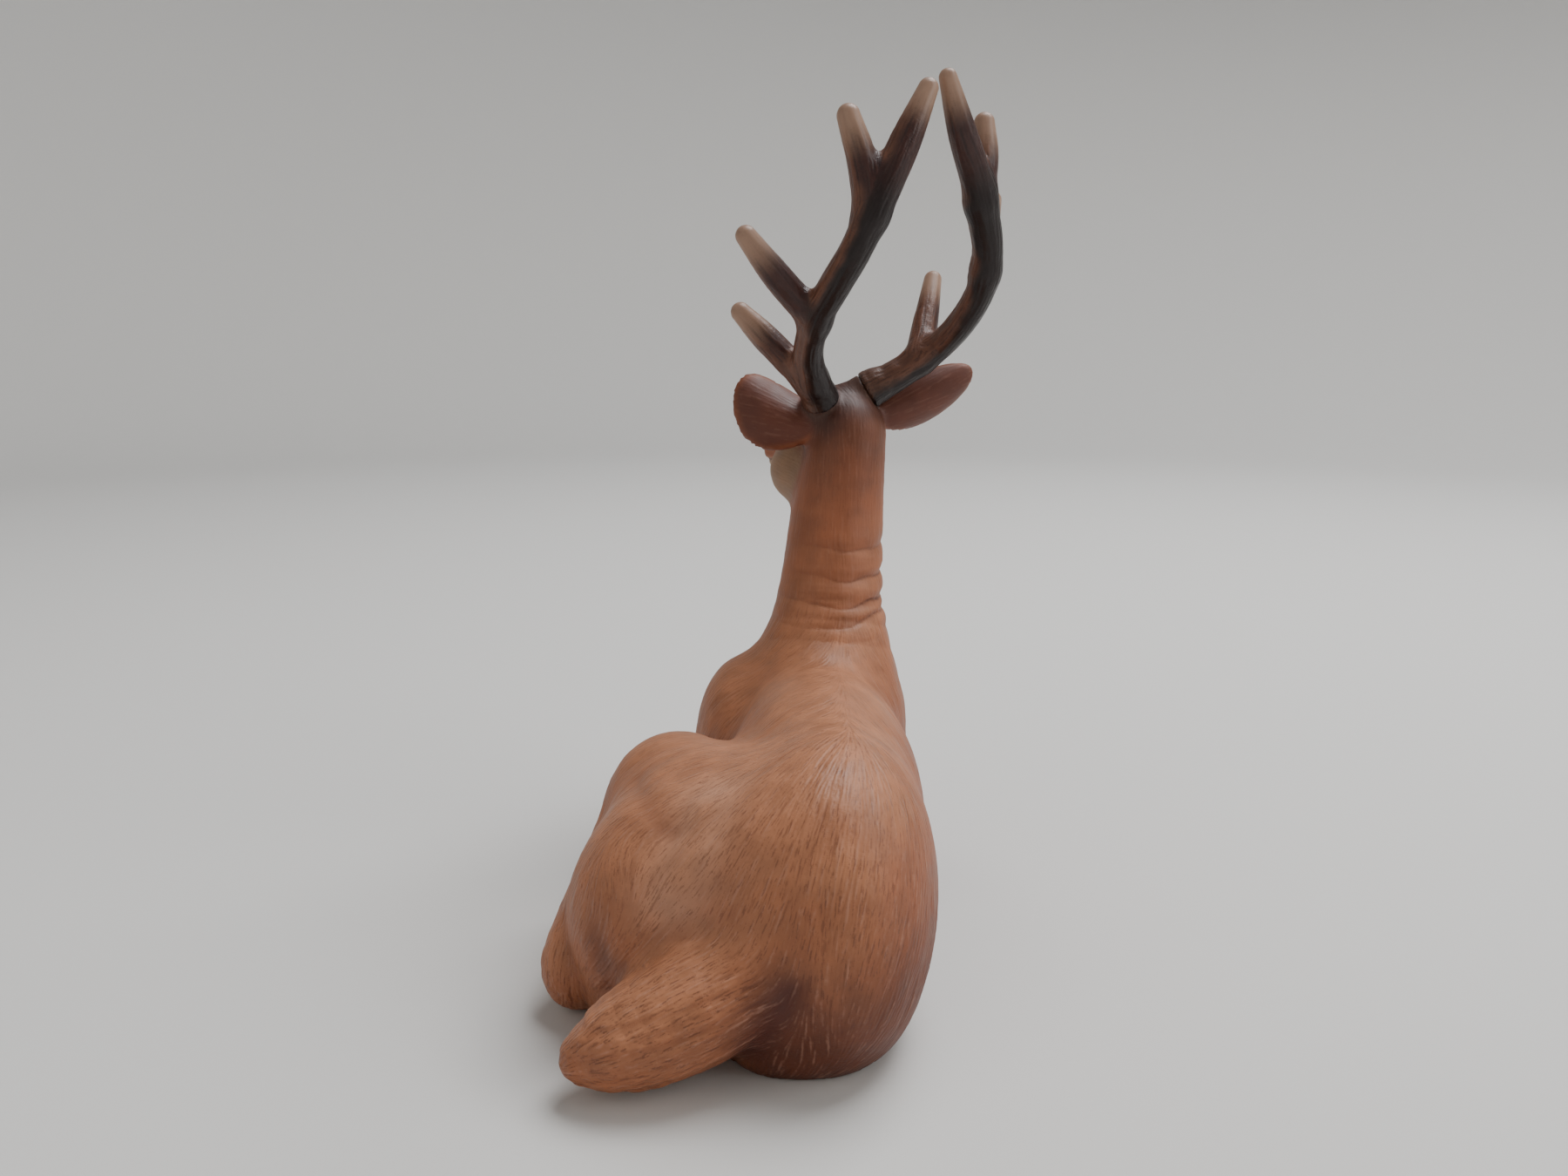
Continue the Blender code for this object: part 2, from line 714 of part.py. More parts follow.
def main():
    """Clear the scene and build the three pieces."""
    for thing in list(bpy.data.objects):
        bpy.data.objects.remove(thing)
    pieces = [make_body(), *[make_antler(side) for side in SIDES]]
    bpy.context.view_layer.update()
    low, high = mesh_box(pieces)
    shift = Vector((-(low[0] + high[0]) * 0.5, -(low[1] + high[1]) * 0.5, 0.0))
    for thing in bpy.data.objects:
        thing.location = shift


main()
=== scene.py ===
"""Looks of a reclining stag statuette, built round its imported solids.

The figure is a moulded and hand painted plastic stag that lies with its head up and turned to
its left. The body with its head, ears, legs and tail is one moulding, and each antler is
another. Lengths are in millimetres in the stag's own frame, where it faces -Y, lies on z = 0
and has its hind feet to its left, +X. They become metres in the row frame when a mesh is
written.
"""

import itertools
import logging
import math
from collections.abc import Callable, Sequence
from dataclasses import dataclass, field
from enum import Enum

import bmesh
import bpy
import numpy as np
from mathutils import Euler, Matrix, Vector


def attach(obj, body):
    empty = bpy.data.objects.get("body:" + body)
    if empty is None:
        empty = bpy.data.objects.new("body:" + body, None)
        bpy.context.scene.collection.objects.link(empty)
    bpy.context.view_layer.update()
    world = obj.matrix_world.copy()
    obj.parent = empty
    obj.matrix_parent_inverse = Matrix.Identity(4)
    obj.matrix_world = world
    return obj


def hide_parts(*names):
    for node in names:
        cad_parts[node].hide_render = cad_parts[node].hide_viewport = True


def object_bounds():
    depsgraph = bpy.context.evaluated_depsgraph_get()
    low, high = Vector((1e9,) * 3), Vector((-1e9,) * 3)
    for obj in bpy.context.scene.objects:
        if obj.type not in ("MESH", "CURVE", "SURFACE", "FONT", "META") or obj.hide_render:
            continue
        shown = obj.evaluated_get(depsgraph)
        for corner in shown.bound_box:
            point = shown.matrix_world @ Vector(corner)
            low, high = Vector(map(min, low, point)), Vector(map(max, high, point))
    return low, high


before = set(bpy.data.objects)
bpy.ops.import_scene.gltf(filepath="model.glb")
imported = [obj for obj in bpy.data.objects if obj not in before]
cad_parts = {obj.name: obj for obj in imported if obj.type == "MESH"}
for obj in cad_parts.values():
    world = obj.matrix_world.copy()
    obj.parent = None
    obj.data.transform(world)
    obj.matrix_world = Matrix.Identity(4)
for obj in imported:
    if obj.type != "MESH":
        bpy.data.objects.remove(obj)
CAD_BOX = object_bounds()

LOG = logging.getLogger("stag")
MM = 0.001
# Where the stag's own origin lies in the row frame, in millimetres
OWN_ORIGIN = np.array((-10.8961, 3.2785, 0.0))

Array = np.ndarray
Place = tuple[float, float, float]
Row = tuple[float, float, float, float]
# A middle, and how far it reaches each way
Region = tuple[Place, Place]


# Small helpers


def linear(hex_colour: str) -> Array:
    """The linear red, green and blue, from 0 to 1, of an sRGB value such as "#A06848"."""
    parts = np.array([int(hex_colour[i : i + 2], 16) for i in (1, 3, 5)]) / 255.0
    return np.where(parts <= 0.04045, parts / 12.92, ((parts + 0.055) / 1.055) ** 2.4)


def eased(values: Array, start: float, end: float) -> Array:
    """Values from start to end, either way round, as a rise from 0 to 1, 3 t² - 2 t³."""
    share = np.clip((values - start) / (end - start), 0.0, 1.0)
    return share * share * (3.0 - 2.0 * share)


def norms(vectors: Array) -> Array:
    """The length of each row."""
    return np.linalg.norm(vectors, axis=1)


def unit(vectors: Array | Place) -> Array:
    """A direction, or each row of them, at length one."""
    return vectors / np.maximum(np.linalg.norm(vectors, axis=-1, keepdims=True), 1e-9)


def tangent(vectors: Array, normals: Array) -> Array:
    """Each row laid into the surface and brought to length one."""
    along = (vectors * normals).sum(axis=1, keepdims=True)
    return unit(vectors - along * normals)


def share_out(points: Array, region: Region) -> Array:
    """How far points are from a region's middle, as a share of its reach."""
    return norms((points - region[0]) / region[1])


def bell(values: Array) -> Array:
    """A bell round nought, exp(-x²)."""
    return np.exp(-(values**2))


def mixed(first: Array, second: Array, share: Array) -> Array:
    """Rows of two arrays mixed by a share for each row."""
    return first + (second - first) * np.asarray(share)[:, None]


def sprayed(base: Array, layers: Sequence[tuple[Array, Array]]) -> Array:
    """A colour under others, each sprayed over it in order by a share for each corner."""
    for paint, share in layers:
        base = mixed(base, paint, share)
    return np.column_stack((base, np.ones(len(base))))


def rounded(first: Array, second: Array, width: float) -> Array:
    """The smaller of two distances, with their join rounded.

    Where they differ by less than the width b, it is lowered by (b - difference)² / 4 b.
    """
    share = np.maximum(width - np.abs(first - second), 0.0) / width
    return np.minimum(first, second) - share * share * width * 0.25


def round_axis(points: Array, foot: Array, along: Array) -> tuple[Array, Array]:
    """How far points are along an axis from its foot, and how far away from it."""
    local = points - foot
    run = local @ along
    return run, np.sqrt(np.maximum((local**2).sum(axis=1) - run * run, 0.0))


def round_ellipsoid(local: Array, radii: Array) -> Array:
    """About how far points are outside an ellipsoid, k (k - 1) / |p / r²| with k = |p / r|."""
    near = norms(local / radii)
    return near * (near - 1.0) / np.maximum(norms(local / radii**2), 1e-9)


def shown(name: str, data: bpy.types.ID) -> bpy.types.Object:
    """A new object in the scene for a mesh, a light or a camera."""
    thing = bpy.data.objects.new(name, data)
    bpy.context.scene.collection.objects.link(thing)
    return thing


# Shapes


@dataclass(frozen=True, eq=False)
class Ball:
    """An ellipsoid along its own axes."""

    centre: Array
    radii: Array
    blend: float = 0.0
    axes: Array = field(default_factory=lambda: np.eye(3))

    def distance(self, points: Array) -> Array:
        """About how far each point is outside the surface."""
        return round_ellipsoid((points - self.centre) @ self.axes.T, self.radii)


@dataclass(frozen=True, eq=False)
class Limb:
    """A row of round cones along a smooth curve through a few points with radii."""

    rows: Array
    blend: float = 0.0

    @classmethod
    def through(cls, rows: Sequence[Row], blend: float = 0.0, steps: int = 4) -> "Limb":
        """A limb along the Catmull-Rom curve through rows of x, y, z and radius.

        Args:
            rows: Two rows stay straight, and more are joined by a curve.
            blend: How wide its join with what comes before it is rounded.
            steps: Cones from one row to the next.

        Returns:
            The limb.
        """
        given = np.array(rows, dtype=float)
        if len(given) == 2:
            return cls(given, blend)
        padded = np.vstack((2.0 * given[0] - given[1], given, 2.0 * given[-1] - given[-2]))
        before, start, end, after = padded[:-3], padded[1:-2], padded[2:-1], padded[3:]
        share = (np.arange(steps) / steps)[None, :, None]
        bend = (2.0 * before - 5.0 * start + 4.0 * end - after)[:, None] * share
        twist = (3.0 * (start - end) + after - before)[:, None] * share**2
        curve = start[:, None] + 0.5 * share * ((end - before)[:, None] + bend + twist)
        return cls(np.vstack((curve.reshape(-1, 4), given[-1:])), blend)

    def nearest(self, points: Array) -> tuple[Array, Array, Array]:
        """What each point finds on the nearest cone.

        Args:
            points: Places in millimetres.

        Returns:
            The distance outside the surface, the cone's direction, and how far along the
            whole limb it is, from 0 to 1.
        """
        distance = np.full(len(points), np.inf)
        way = np.zeros((len(points), 3))
        run = np.zeros(len(points))
        count = len(self.rows) - 1
        for number, (start, end) in enumerate(zip(self.rows[:-1], self.rows[1:])):
            along = end[:3] - start[:3]
            local = points - start[:3]
            share = np.clip(local @ along / (along @ along), 0.0, 1.0)
            away = np.sqrt(((local - share[:, None] * along) ** 2).sum(axis=1))
            away -= start[3] + share * (end[3] - start[3])
            nearer = away < distance
            distance = np.where(nearer, away, distance)
            way[nearer] = along / np.linalg.norm(along)
            run = np.where(nearer, (number + share) / count, run)
        return distance, way, run

    def distance(self, points: Array) -> Array:
        """How far each point is outside the surface."""
        return self.nearest(points)[0]


@dataclass(frozen=True, eq=False)
class Stub:
    """A round post with flat ends, from its foot along a direction."""

    foot: Array
    along: Array
    length: float
    radius: float
    blend: float = 0.0

    def distance(self, points: Array) -> Array:
        """About how far each point is outside the surface."""
        run, away = round_axis(points, self.foot, self.along)
        return np.maximum(away - self.radius, np.maximum(run - self.length, -run))


@dataclass(frozen=True, eq=False)
class Leaf:
    """A flat leaf: an ellipsoid whose middle line bows and whose edges are cupped.

    Across, the leaf is shifted by bow (1 - t²) and widened by 1 - taper t, with t from -1 at
    its root to 1 at its tip. Its edges come forward by cup s², with s from -1 to 1 across.
    """

    middle: Array
    axes: Array
    radii: Array
    blend: float
    taper: float
    bow: float
    cup: float

    def local(self, points: Array) -> Array:
        """Points turned along, across and to the front, with the bow and cup undone."""
        place = (points - self.middle) @ self.axes.T
        run = np.clip(place[:, 0] / self.radii[0], -1.0, 1.0)
        place[:, 1] = (place[:, 1] + self.bow * (1.0 - run * run)) / (1.0 - self.taper * run)
        place[:, 2] -= self.cup * (place[:, 1] / self.radii[1]) ** 2
        return place

    def distance(self, points: Array) -> Array:
        """About how far each point is outside the surface."""
        return round_ellipsoid(self.local(points), self.radii)


Shape = Ball | Limb | Stub | Leaf


def blended(points: Array, shapes: Sequence[Shape]) -> Array:
    """Distance to a union of shapes, each rounded into those before it by its own blend."""
    result = shapes[0].distance(points)
    for shape in shapes[1:]:
        result = rounded(result, shape.distance(points), max(shape.blend, 1e-6))
    return result


def balls(table: Sequence[tuple[Place, Place, float]]) -> list[Ball]:
    """Level ellipsoids from rows of centre, radii and blend."""
    return [Ball(np.array(centre), np.array(radii), blend) for centre, radii, blend in table]


@dataclass(frozen=True)
class Ear:
    """One ear: root and tip from the middle of the skull, half width, taper and bow."""

    root: Place
    tip: Place
    width: float
    taper: float
    bow: float


class Side(Enum):
    """The stag's left and right, with their sign along its own left."""

    LEFT = 1.0
    RIGHT = -1.0


@dataclass(frozen=True)
class AntlerLine:
    """One antler's lines: rows forwards, outwards and up from the burr, and a radius share.

    The shaded way is the direction that its painted shade faces.
    """

    side: Side
    burr: Place
    shaded_way: Place
    beam: tuple[Row, ...]
    tines: tuple[tuple[Row, ...], ...]


LEFT_ANTLER = AntlerLine(
    Side.LEFT,
    (4.5, -49.0, 123.2),
    (-0.8, 0.4, -0.45),
    ((-0.6, -2.0, -4.6, 1.25), (-3.6, 4.0, 3.6, 1.16), (-8.7, 10.2, 11.2, 1.03),
     (-15.8, 13.2, 19.6, 1.0), (-23, 13.2, 27.5, 1.05), (-29.6, 12.4, 35.1, 1.05),
     (-33.5, 10.4, 43.4, 1.08), (-35.4, 7.4, 51, 1.06), (-36.6, 3.2, 60, 0.98),
     (-37.8, -1.9, 71, 0.64)),
    (((-33.0, 10.4, 43, 1.0), (-32.2, 12.2, 54, 0.98), (-30.0, 14.8, 64.6, 0.74)),
     ((-15.4, 13, 20, 1.0), (-13.6, 23.2, 30.2, 0.96), (-12.4, 31.0, 39.0, 0.68)),
     ((-3, 6, 4.5, 1.0), (1.5, 15.7, 15.2, 0.96), (4.1, 21.9, 21.9, 0.68))),
)
RIGHT_ANTLER = AntlerLine(
    Side.RIGHT,
    (-8.0, -56.0, 125.0),
    (-0.5, 0.1, -0.86),
    ((2.4, -3.4, -3, 1.25), (-4.4, 6.2, 3.6, 1.16), (-10.3, 14.2, 10.2, 1.03),
     (-19.6, 15.7, 17.7, 1.0), (-26, 16.2, 26.3, 1.0), (-29.6, 14.4, 34.6, 1.03),
     (-31.8, 10.5, 42.6, 1.08), (-33.6, 5.9, 51, 1.04), (-35.2, -0.6, 61, 0.92),
     (-36.7, -6.8, 72, 0.58)),
    (((-32.4, 8.5, 46, 0.92), (-31, 11.0, 56.5, 0.9), (-29.4, 12.0, 64.8, 0.7)),
     ((-27.5, 15.4, 30, 0.92), (-20, 23, 41, 0.9), (-15, 29.5, 49, 0.68)),
     ((-8, 11.5, 8.5, 1.0), (-2.5, 18.6, 19, 0.92), (2.2, 24.8, 29.2, 0.66))),
)


@dataclass
class StagForm:
    """The stag's masses, each rounded into those before it."""

    head_turn: float = math.radians(35.0)
    head_drop: float = math.radians(6.0)
    skull: Place = (-1.0, -57.0, 116.5)
    # The left eye, forward, left and up from the middle of the skull
    eye_place: Place = (12.6, 7.9, 0.6)
    tail_root: Place = (15.0, 59.5, 22.0)
    tail_tip: Place = (35.6, 10.8, -13.4)
    left_ear: Ear = Ear((4.0, 7.0, -0.4), (27.4, 4.0, 10.4), 9.2, -0.14, 3.4)
    right_ear: Ear = Ear((-9.0, -2.0, 0.6), (-37.0, -9.0, 13.6), 6.9, 0.10, 1.4)
    ear_thickness: float = 2.5
    ear_curl: float = 3.0
    ear_hollow: float = 1.9
    ear_cup_share: float = 0.84
    beam_radius: float = 3.7
    burr_radius: float = 4.8
    # Where the burr's rim lies and how it narrows, as shares of its radius
    burr_rim: Place = (0.35, 0.45, 0.96)
    stub_depth: float = 9.0
    stub_share: float = 0.95
    stub_spare: float = 0.6
    antler_clearance: float = 0.8
    burr_room: float = 1.25

    def __post_init__(self) -> None:
        """Work out the head's own directions: forwards, to its left, and upwards."""
        turn, drop = self.head_turn, self.head_drop
        self.level = np.array((math.sin(turn), -math.cos(turn), 0.0))
        self.left = np.array((math.cos(turn), math.sin(turn), 0.0))
        self.ahead = self.level * math.cos(drop) - (0.0, 0.0, math.sin(drop))
        self.head_axes = np.array((self.ahead, self.left, np.cross(self.ahead, self.left)))

    def head_place(self, forward: float, left: float, up: float) -> Array:
        """A place on the head, from the middle of the skull along the head's directions."""
        return np.array(self.skull) + np.array((forward, left, up)) @ self.head_axes

    def on_head(self, points: Array) -> Array:
        """Points turned to forward, left and up from the middle of the skull."""
        return (points - self.skull) @ self.head_axes.T

    def head_ball(self, centre: Place, radii: Place, blend: float) -> Ball:
        """An ellipsoid along the head's own directions."""
        return Ball(self.head_place(*centre), np.array(radii), blend, self.head_axes)

    def head_limb(self, rows: Sequence[Row], blend: float) -> Limb:
        """A limb given by rows of forward, left, up and radius."""
        return Limb.through([(*self.head_place(*row[:3]), row[3]) for row in rows], blend)

    def trunk(self) -> list[Shape]:
        """Barrel, brisket, shoulders and croup."""
        return balls((((5, 0, 29.5), (24, 54, 31), 0), ((8.5, -40, 30), (23, 32, 31), 9),
                      ((25, -36, 32), (12.5, 21, 24), 6), ((-6, -38, 32), (11.5, 22, 24), 6),
                      ((3.6, 40, 33), (20.6, 31, 27.8), 8)))

    def haunches(self) -> list[Shape]:
        """The right haunch beneath, and the left thigh that lies over to the stag's left."""
        return [
            *balls((((3, 42, 21), (19, 32, 27), 6), ((13, 51, 9), (16, 17, 15), 6))),
            Limb.through(((14, 45, 33, 22), (38, 10, 34.2, 16.6)), 7),
            *balls((((35.5, 36, 21), (24, 25, 26), 10), ((33, 16, 14), (19, 22, 20), 5))),
        ]

    def neck(self) -> list[Limb]:
        """The neck, deeper than it is wide, with the throat in front."""
        return [
            Limb.through(((3.3, -38, 46, 19), (1.4, -45, 70, 14.3), (-0.3, -50, 90, 12.4),
                          (-3.1, -53, 113, 10.2)), 8),
            Limb.through(((5, -52, 44, 16), (3, -59, 72, 11.5), (2, -63, 97, 9)), 7),
        ]

    def undercuts(self) -> list[Shape]:
        """The plain filling of a moulded figure under its belly and between its legs."""
        return balls((((9, -44, 7), (18, 22, 13), 4), ((36, -2, 6), (19, 24, 11), 4),
                      ((40, 30, 6), (17, 26, 12), 4), ((38, 50, 5), (12, 12, 12), 3)))

    def legs(self) -> list[Limb]:
        """The hind legs and then the forelegs, each with the hoof at the end of its rows."""
        table = (
            (((43, 10, 31, 12.5), (56.5, 36, 12.5, 8), (57.5, 39.5, 8.6, 7)), 2.5),
            (((57.5, 38, 6.2, 6.2), (56, 14, 4.8, 4.8), (53, -7, 4.4, 4.7)), 2),
            (((53, -7, 4.4, 5), (51, -19, 3.6, 4.4)), 1),
            (((30, 10, 5.5, 6), (39, -13, 4.6, 4.7)), 2),
            (((39, -13, 4.6, 5), (41, -25, 3.6, 4.4)), 1),
            (((27, -34, 26, 12), (35, -17, 13, 9), (30, -61, 8, 6.6)), 4),
            (((29, -60, 6, 5.6), (21, -34, 4.6, 4.6), (18, -24, 3.6, 4.4)), 1.5),
            (((-6, -34, 26, 12), (-9, -18, 13, 8.5), (-5, -66, 8, 6.6)), 4),
            (((-4, -65, 6, 5.6), (3, -40, 4.6, 4.6), (6, -30, 3.6, 4.4)), 1.5),
        )
        return [Limb.through(rows, blend) for rows, blend in table]

    def head(self) -> list[Shape]:
        """Skull, face, jaw, cheeks, brows, eyes and muzzle."""
        shapes: list[Shape] = [
            self.head_ball((2, 0, 0), (12, 9.6, 9.8), 5),
            self.head_ball((11, 0, -1.2), (11, 7.8, 7.6), 4),
            self.head_limb(((11, 0, -2.6, 7), (20, 0, -4.6, 5.5), (29, 0, -6.4, 4.5)), 4),
            self.head_limb(((3, 0, -13, 8), (11, 0, -14, 6.2), (27.5, 0, -9.8, 3.1)), 3.5),
        ]
        for side in (-1, 1):
            shapes.append(self.head_ball((12, side * 6, -12.6), (11, 5.6, 8.6), 3.5))
            shapes.append(self.head_ball((11, side * 6.6, 2), (4, 2.4, 2.6), 2))
            shapes.append(self.eye(side))
        return shapes

    def eye(self, side: int) -> Ball:
        """One eye, which stands a little out of its lids."""
        forward, out, up = self.eye_place
        return self.head_ball((forward, side * out, up), (2.3, 1.3, 2.0), 0.5)

    def ear_frame(self, ear: Ear) -> tuple[Array, Array, float]:
        """Middle, directions along, across and to the front, and half length of one ear."""
        reach = np.array(ear.tip) - np.array(ear.root)
        length = float(np.linalg.norm(reach))
        along = reach / length
        front = unit(self.ahead - (self.ahead @ along) * along)
        across = np.cross(front, along)
        across = across * np.sign(across[2])
        middle = np.array(self.skull) + np.array(ear.root) + reach * 0.5
        return middle, np.array((along, across, front)), length * 0.5

    def ear_leaf(self, ear: Ear, share: float, forward: float, thickness: float,
                 blend: float) -> Leaf:
        """A leaf of one ear's outline, at a share of its size and moved forward."""
        middle, axes, half = self.ear_frame(ear)
        radii = np.array((half * share, ear.width * share, thickness))
        return Leaf(middle + axes[2] * forward, axes, radii, blend, ear.taper,
                    ear.bow * share, self.ear_curl)

    def ear(self, ear: Ear) -> Leaf:
        """One ear as a cupped leaf."""
        return self.ear_leaf(ear, 1.0, 0.0, self.ear_thickness, 3.0)

    def ear_cup(self, ear: Ear) -> Leaf:
        """The hollow in the front of one ear."""
        return self.ear_leaf(ear, self.ear_cup_share, self.ear_thickness, self.ear_hollow, 1.0)

    @property
    def ears(self) -> tuple[Ear, Ear]:
        """Both ears."""
        return self.left_ear, self.right_ear

    def tail(self) -> list[Limb]:
        """The thick root of the tail, and the broad lobe laid to the stag's left."""
        root = np.array((*self.tail_root, 0.0))
        lobe = ((0, 0, 0, 9), (14.6, 5.4, -5.8, 11.2), (27, 9, -10.6, 9.6),
                (*self.tail_tip, 5.2))
        return [
            Limb.through(np.array(((-2, -9, 9, 9), (1, 0.5, 1, 10.4))) + root, 8),
            Limb.through(np.array(lobe) + root, 5),
        ]

    def antler_place(self, line: AntlerLine, forward: float, out: float, up: float) -> Array:
        """A place on one antler, from its burr forwards, outwards and straight up."""
        return (np.array(line.burr) + self.level * forward + self.left * line.side.value * out
                + (0.0, 0.0, up))

    def burr_frame(self, line: AntlerLine) -> tuple[Array, Array]:
        """Middle of the joint under one antler, and the direction in which it leaves."""
        foot, top = (self.antler_place(line, *row[:3]) for row in line.beam[:2])
        return np.array(line.burr), unit(top - foot)

    def antler(self, line: AntlerLine) -> list[Limb]:
        """One antler: the beam, its three tines and the burr at its foot."""
        shapes = [
            Limb.through([(*self.antler_place(line, *row[:3]), row[3] * self.beam_radius)
                          for row in rows], self.beam_radius * 0.8)
            for rows in (line.beam, *line.tines)
        ]
        middle, along = self.burr_frame(line)
        low, high = (middle + along * self.burr_radius * share for share in self.burr_rim[:2])
        rim = ((*low, self.burr_radius), (*high, self.burr_radius * self.burr_rim[2]))
        return [*shapes, Limb.through(rim, self.beam_radius * 0.5)]

    def pedicle(self, line: AntlerLine) -> Stub:
        """The short stub of the skull that carries one antler."""
        middle, along = self.burr_frame(line)
        length = self.stub_depth + 2.0 * self.stub_spare
        foot = middle - along * self.stub_depth
        return Stub(foot, along, length, self.burr_radius * self.stub_share, 2.0)


FORM = StagForm()
ANTLER_LINES = (LEFT_ANTLER, RIGHT_ANTLER)


# Carving


@dataclass(frozen=True)
class Fold:
    """A fold of skin round the back of the neck: its height, depth and lean."""

    height: float
    depth: float
    lean: float


@dataclass(frozen=True)
class Crease:
    """A line cut into the skin, or raised where its depth is below nought.

    Its section is a bell, depth times exp(-(d / width)²), and it fades out at both ends.
    """

    line: tuple[Place, ...]
    depth: float
    width: float

    def at(self, points: Array) -> Array:
        """How deep the line cuts at each point."""
        limb = Limb.through([(*place, 0.0) for place in self.line])
        away, _, run = limb.nearest(points)
        ends = eased(run, 0.0, 0.25) * eased(run, 1.0, 0.75)
        return self.depth * bell(away / self.width) * ends


@dataclass
class BodyField:
    """The distance to the body's surface, with the carving that shows from a step away."""

    form: StagForm
    folds: tuple[Fold, ...] = (Fold(85.3, 0.45, 0.06), Fold(77.8, 0.7, 0.05),
                               Fold(71.3, 0.85, 0.02), Fold(66.5, 0.6, -0.08))
    fold_width: float = 1.5
    # How much higher each fold is in front, and how far behind the neck folds may lie
    fold_rise: float = 1.2
    fold_behind: float = 30.0
    # The share of the folds' depth that is left at the middle of the nape
    back_share: float = 0.45
    # The line up the middle of the neck: height, X and Y
    neck_line: tuple[Place, ...] = ((60, 2.5, -45), (72, 1.4, -48), (92, -0.3, -53))
    lock_pitch: float = 4.4
    lock_lean: float = 0.02
    lock_depth: float = 0.3
    lock_span: Row = (8.0, 18.0, 42.0, 48.0)

    def __post_init__(self) -> None:
        """Gather the masses in the order in which they are blended."""
        form = self.form
        self.shapes = [
            *form.trunk(), *form.haunches(), *form.neck(), *form.undercuts(), *form.legs(),
            *form.head(), *[form.pedicle(line) for line in ANTLER_LINES],
            *[form.ear(ear) for ear in form.ears], *form.tail(),
        ]
        self.cups = [form.ear_cup(ear) for ear in form.ears]
        self.antlers = [(form.burr_frame(line), form.antler(line)) for line in ANTLER_LINES]

    def round_neck(self, points: Array) -> tuple[Array, Array, Array]:
        """Where points lie round the neck.

        Args:
            points: Places in millimetres.

        Returns:
            How far they face back, how far they face right, and how far they are to the
            left of the neck's middle line.
        """
        heights, line_x, line_y = zip(*self.neck_line)
        left = points[:, 0] - np.interp(points[:, 2], heights, line_x)
        behind = points[:, 1] - np.interp(points[:, 2], heights, line_y)
        away = np.maximum(np.hypot(left, behind), 1e-6)
        return behind / away, -left / away, left

    def neck_lift(self, points: Array, back: Array) -> Array:
        """How high points are along the neck's folds, which rise towards its front."""
        return points[:, 2] - self.fold_rise * (1.0 - back)

    def neck_folds(self, points: Array) -> Array:
        """Depth of the folds, each a bell round its height, over the back of the neck."""
        back, right, left = self.round_neck(points)
        line_y = np.interp(points[:, 2], *np.array(self.neck_line).T[[0, 2]])
        reach = np.clip(0.6 * back + 0.6 * right + 0.25, 0.0, 1.0)
        reach *= points[:, 1] < line_y + self.fold_behind
        reach *= self.back_share + (1.0 - self.back_share) * eased(right, 0.0, 0.8)
        lift = self.neck_lift(points, back)
        return reach * sum(
            fold.depth * bell((lift - fold.height - fold.lean * left) / self.fold_width)
            for fold in self.folds
        )

    def tail_locks(self, points: Array) -> Array:
        """Depth of the grooves between the tail's long locks, a cosine across the tail."""
        along = unit(self.form.tail_tip)
        across = unit(np.cross(along, (0.0, -1.0, 0.0)))
        local = points - self.form.tail_root
        run = local @ along
        turns = local @ across / self.lock_pitch + self.lock_lean * (run - self.lock_span[1])
        inside = np.interp(run, self.lock_span, (0.0, 1.0, 1.0, 0.0))
        near = np.clip(1.0 - self.form.tail()[1].distance(points) / 2.0, 0.0, 1.0)
        return self.lock_depth * np.clip(np.cos(math.tau * turns), 0.0, 1.0) * inside * near

    def antler_room(self, points: Array) -> Array:
        """How far points are inside the space kept free above and round each joint."""
        form = self.form
        room = np.full(len(points), -np.inf)
        for (middle, along), shapes in self.antlers:
            run, away = round_axis(points, middle, along)
            near = form.antler_clearance - blended(points, shapes)
            over_stub = np.minimum(run, form.burr_radius * form.burr_room - away)
            room = np.maximum(room, np.minimum(run - form.stub_spare, near))
            room = np.maximum(room, over_stub)
        return room

    def distance(self, points: Array) -> Array:
        """How far points are outside the body as it is moulded, cut flat at z = 0."""
        result = blended(points, self.shapes)
        for cup in self.cups:
            result = -rounded(-result, cup.distance(points), cup.blend)
        result += self.neck_folds(points) + self.tail_locks(points)
        return np.maximum(np.maximum(result, self.antler_room(points)), -points[:, 2])


# Skins


@dataclass
class Grain:
    """Seeded noise from -1 to 1 on a cubic lattice, eased between its corners."""

    seed: int
    size: int = 64

    def __post_init__(self) -> None:
        """Draw the lattice once."""
        self.table = np.random.default_rng(self.seed).uniform(-1.0, 1.0, (self.size,) * 3)

    def at(self, points: Array, pitch: float) -> Array:
        """The noise at each point, with the lattice's corners a pitch apart."""
        place = points / pitch
        base = np.floor(place).astype(np.int64)
        share = place - base
        share = share * share * (3.0 - 2.0 * share)
        result = np.zeros(len(points))
        for corner in itertools.product((0, 1), repeat=3):
            weight = np.where(corner, share, 1.0 - share).prod(axis=1)
            index = (base + np.array(corner)) % self.size
            result += weight * self.table[tuple(index.T)]
        return result

    def strokes(self, points: Array, way: Array, pitch: float, reach: float,
                samples: int = 11) -> Array:
        """The noise drawn out along a direction, the mean of samples from -reach to reach.

        Args:
            points: Places in millimetres.
            way: The direction of the strokes at each point, at length one.
            pitch: How far apart the strokes are.
            reach: Half their length.
            samples: Places averaged along each stroke.

        Returns:
            The strokes, with a spread of about one round nought.
        """
        total = np.zeros(len(points))
        for offset in np.linspace(-reach, reach, samples):
            total += self.at(points + way * offset, pitch)
        return total / total.std()


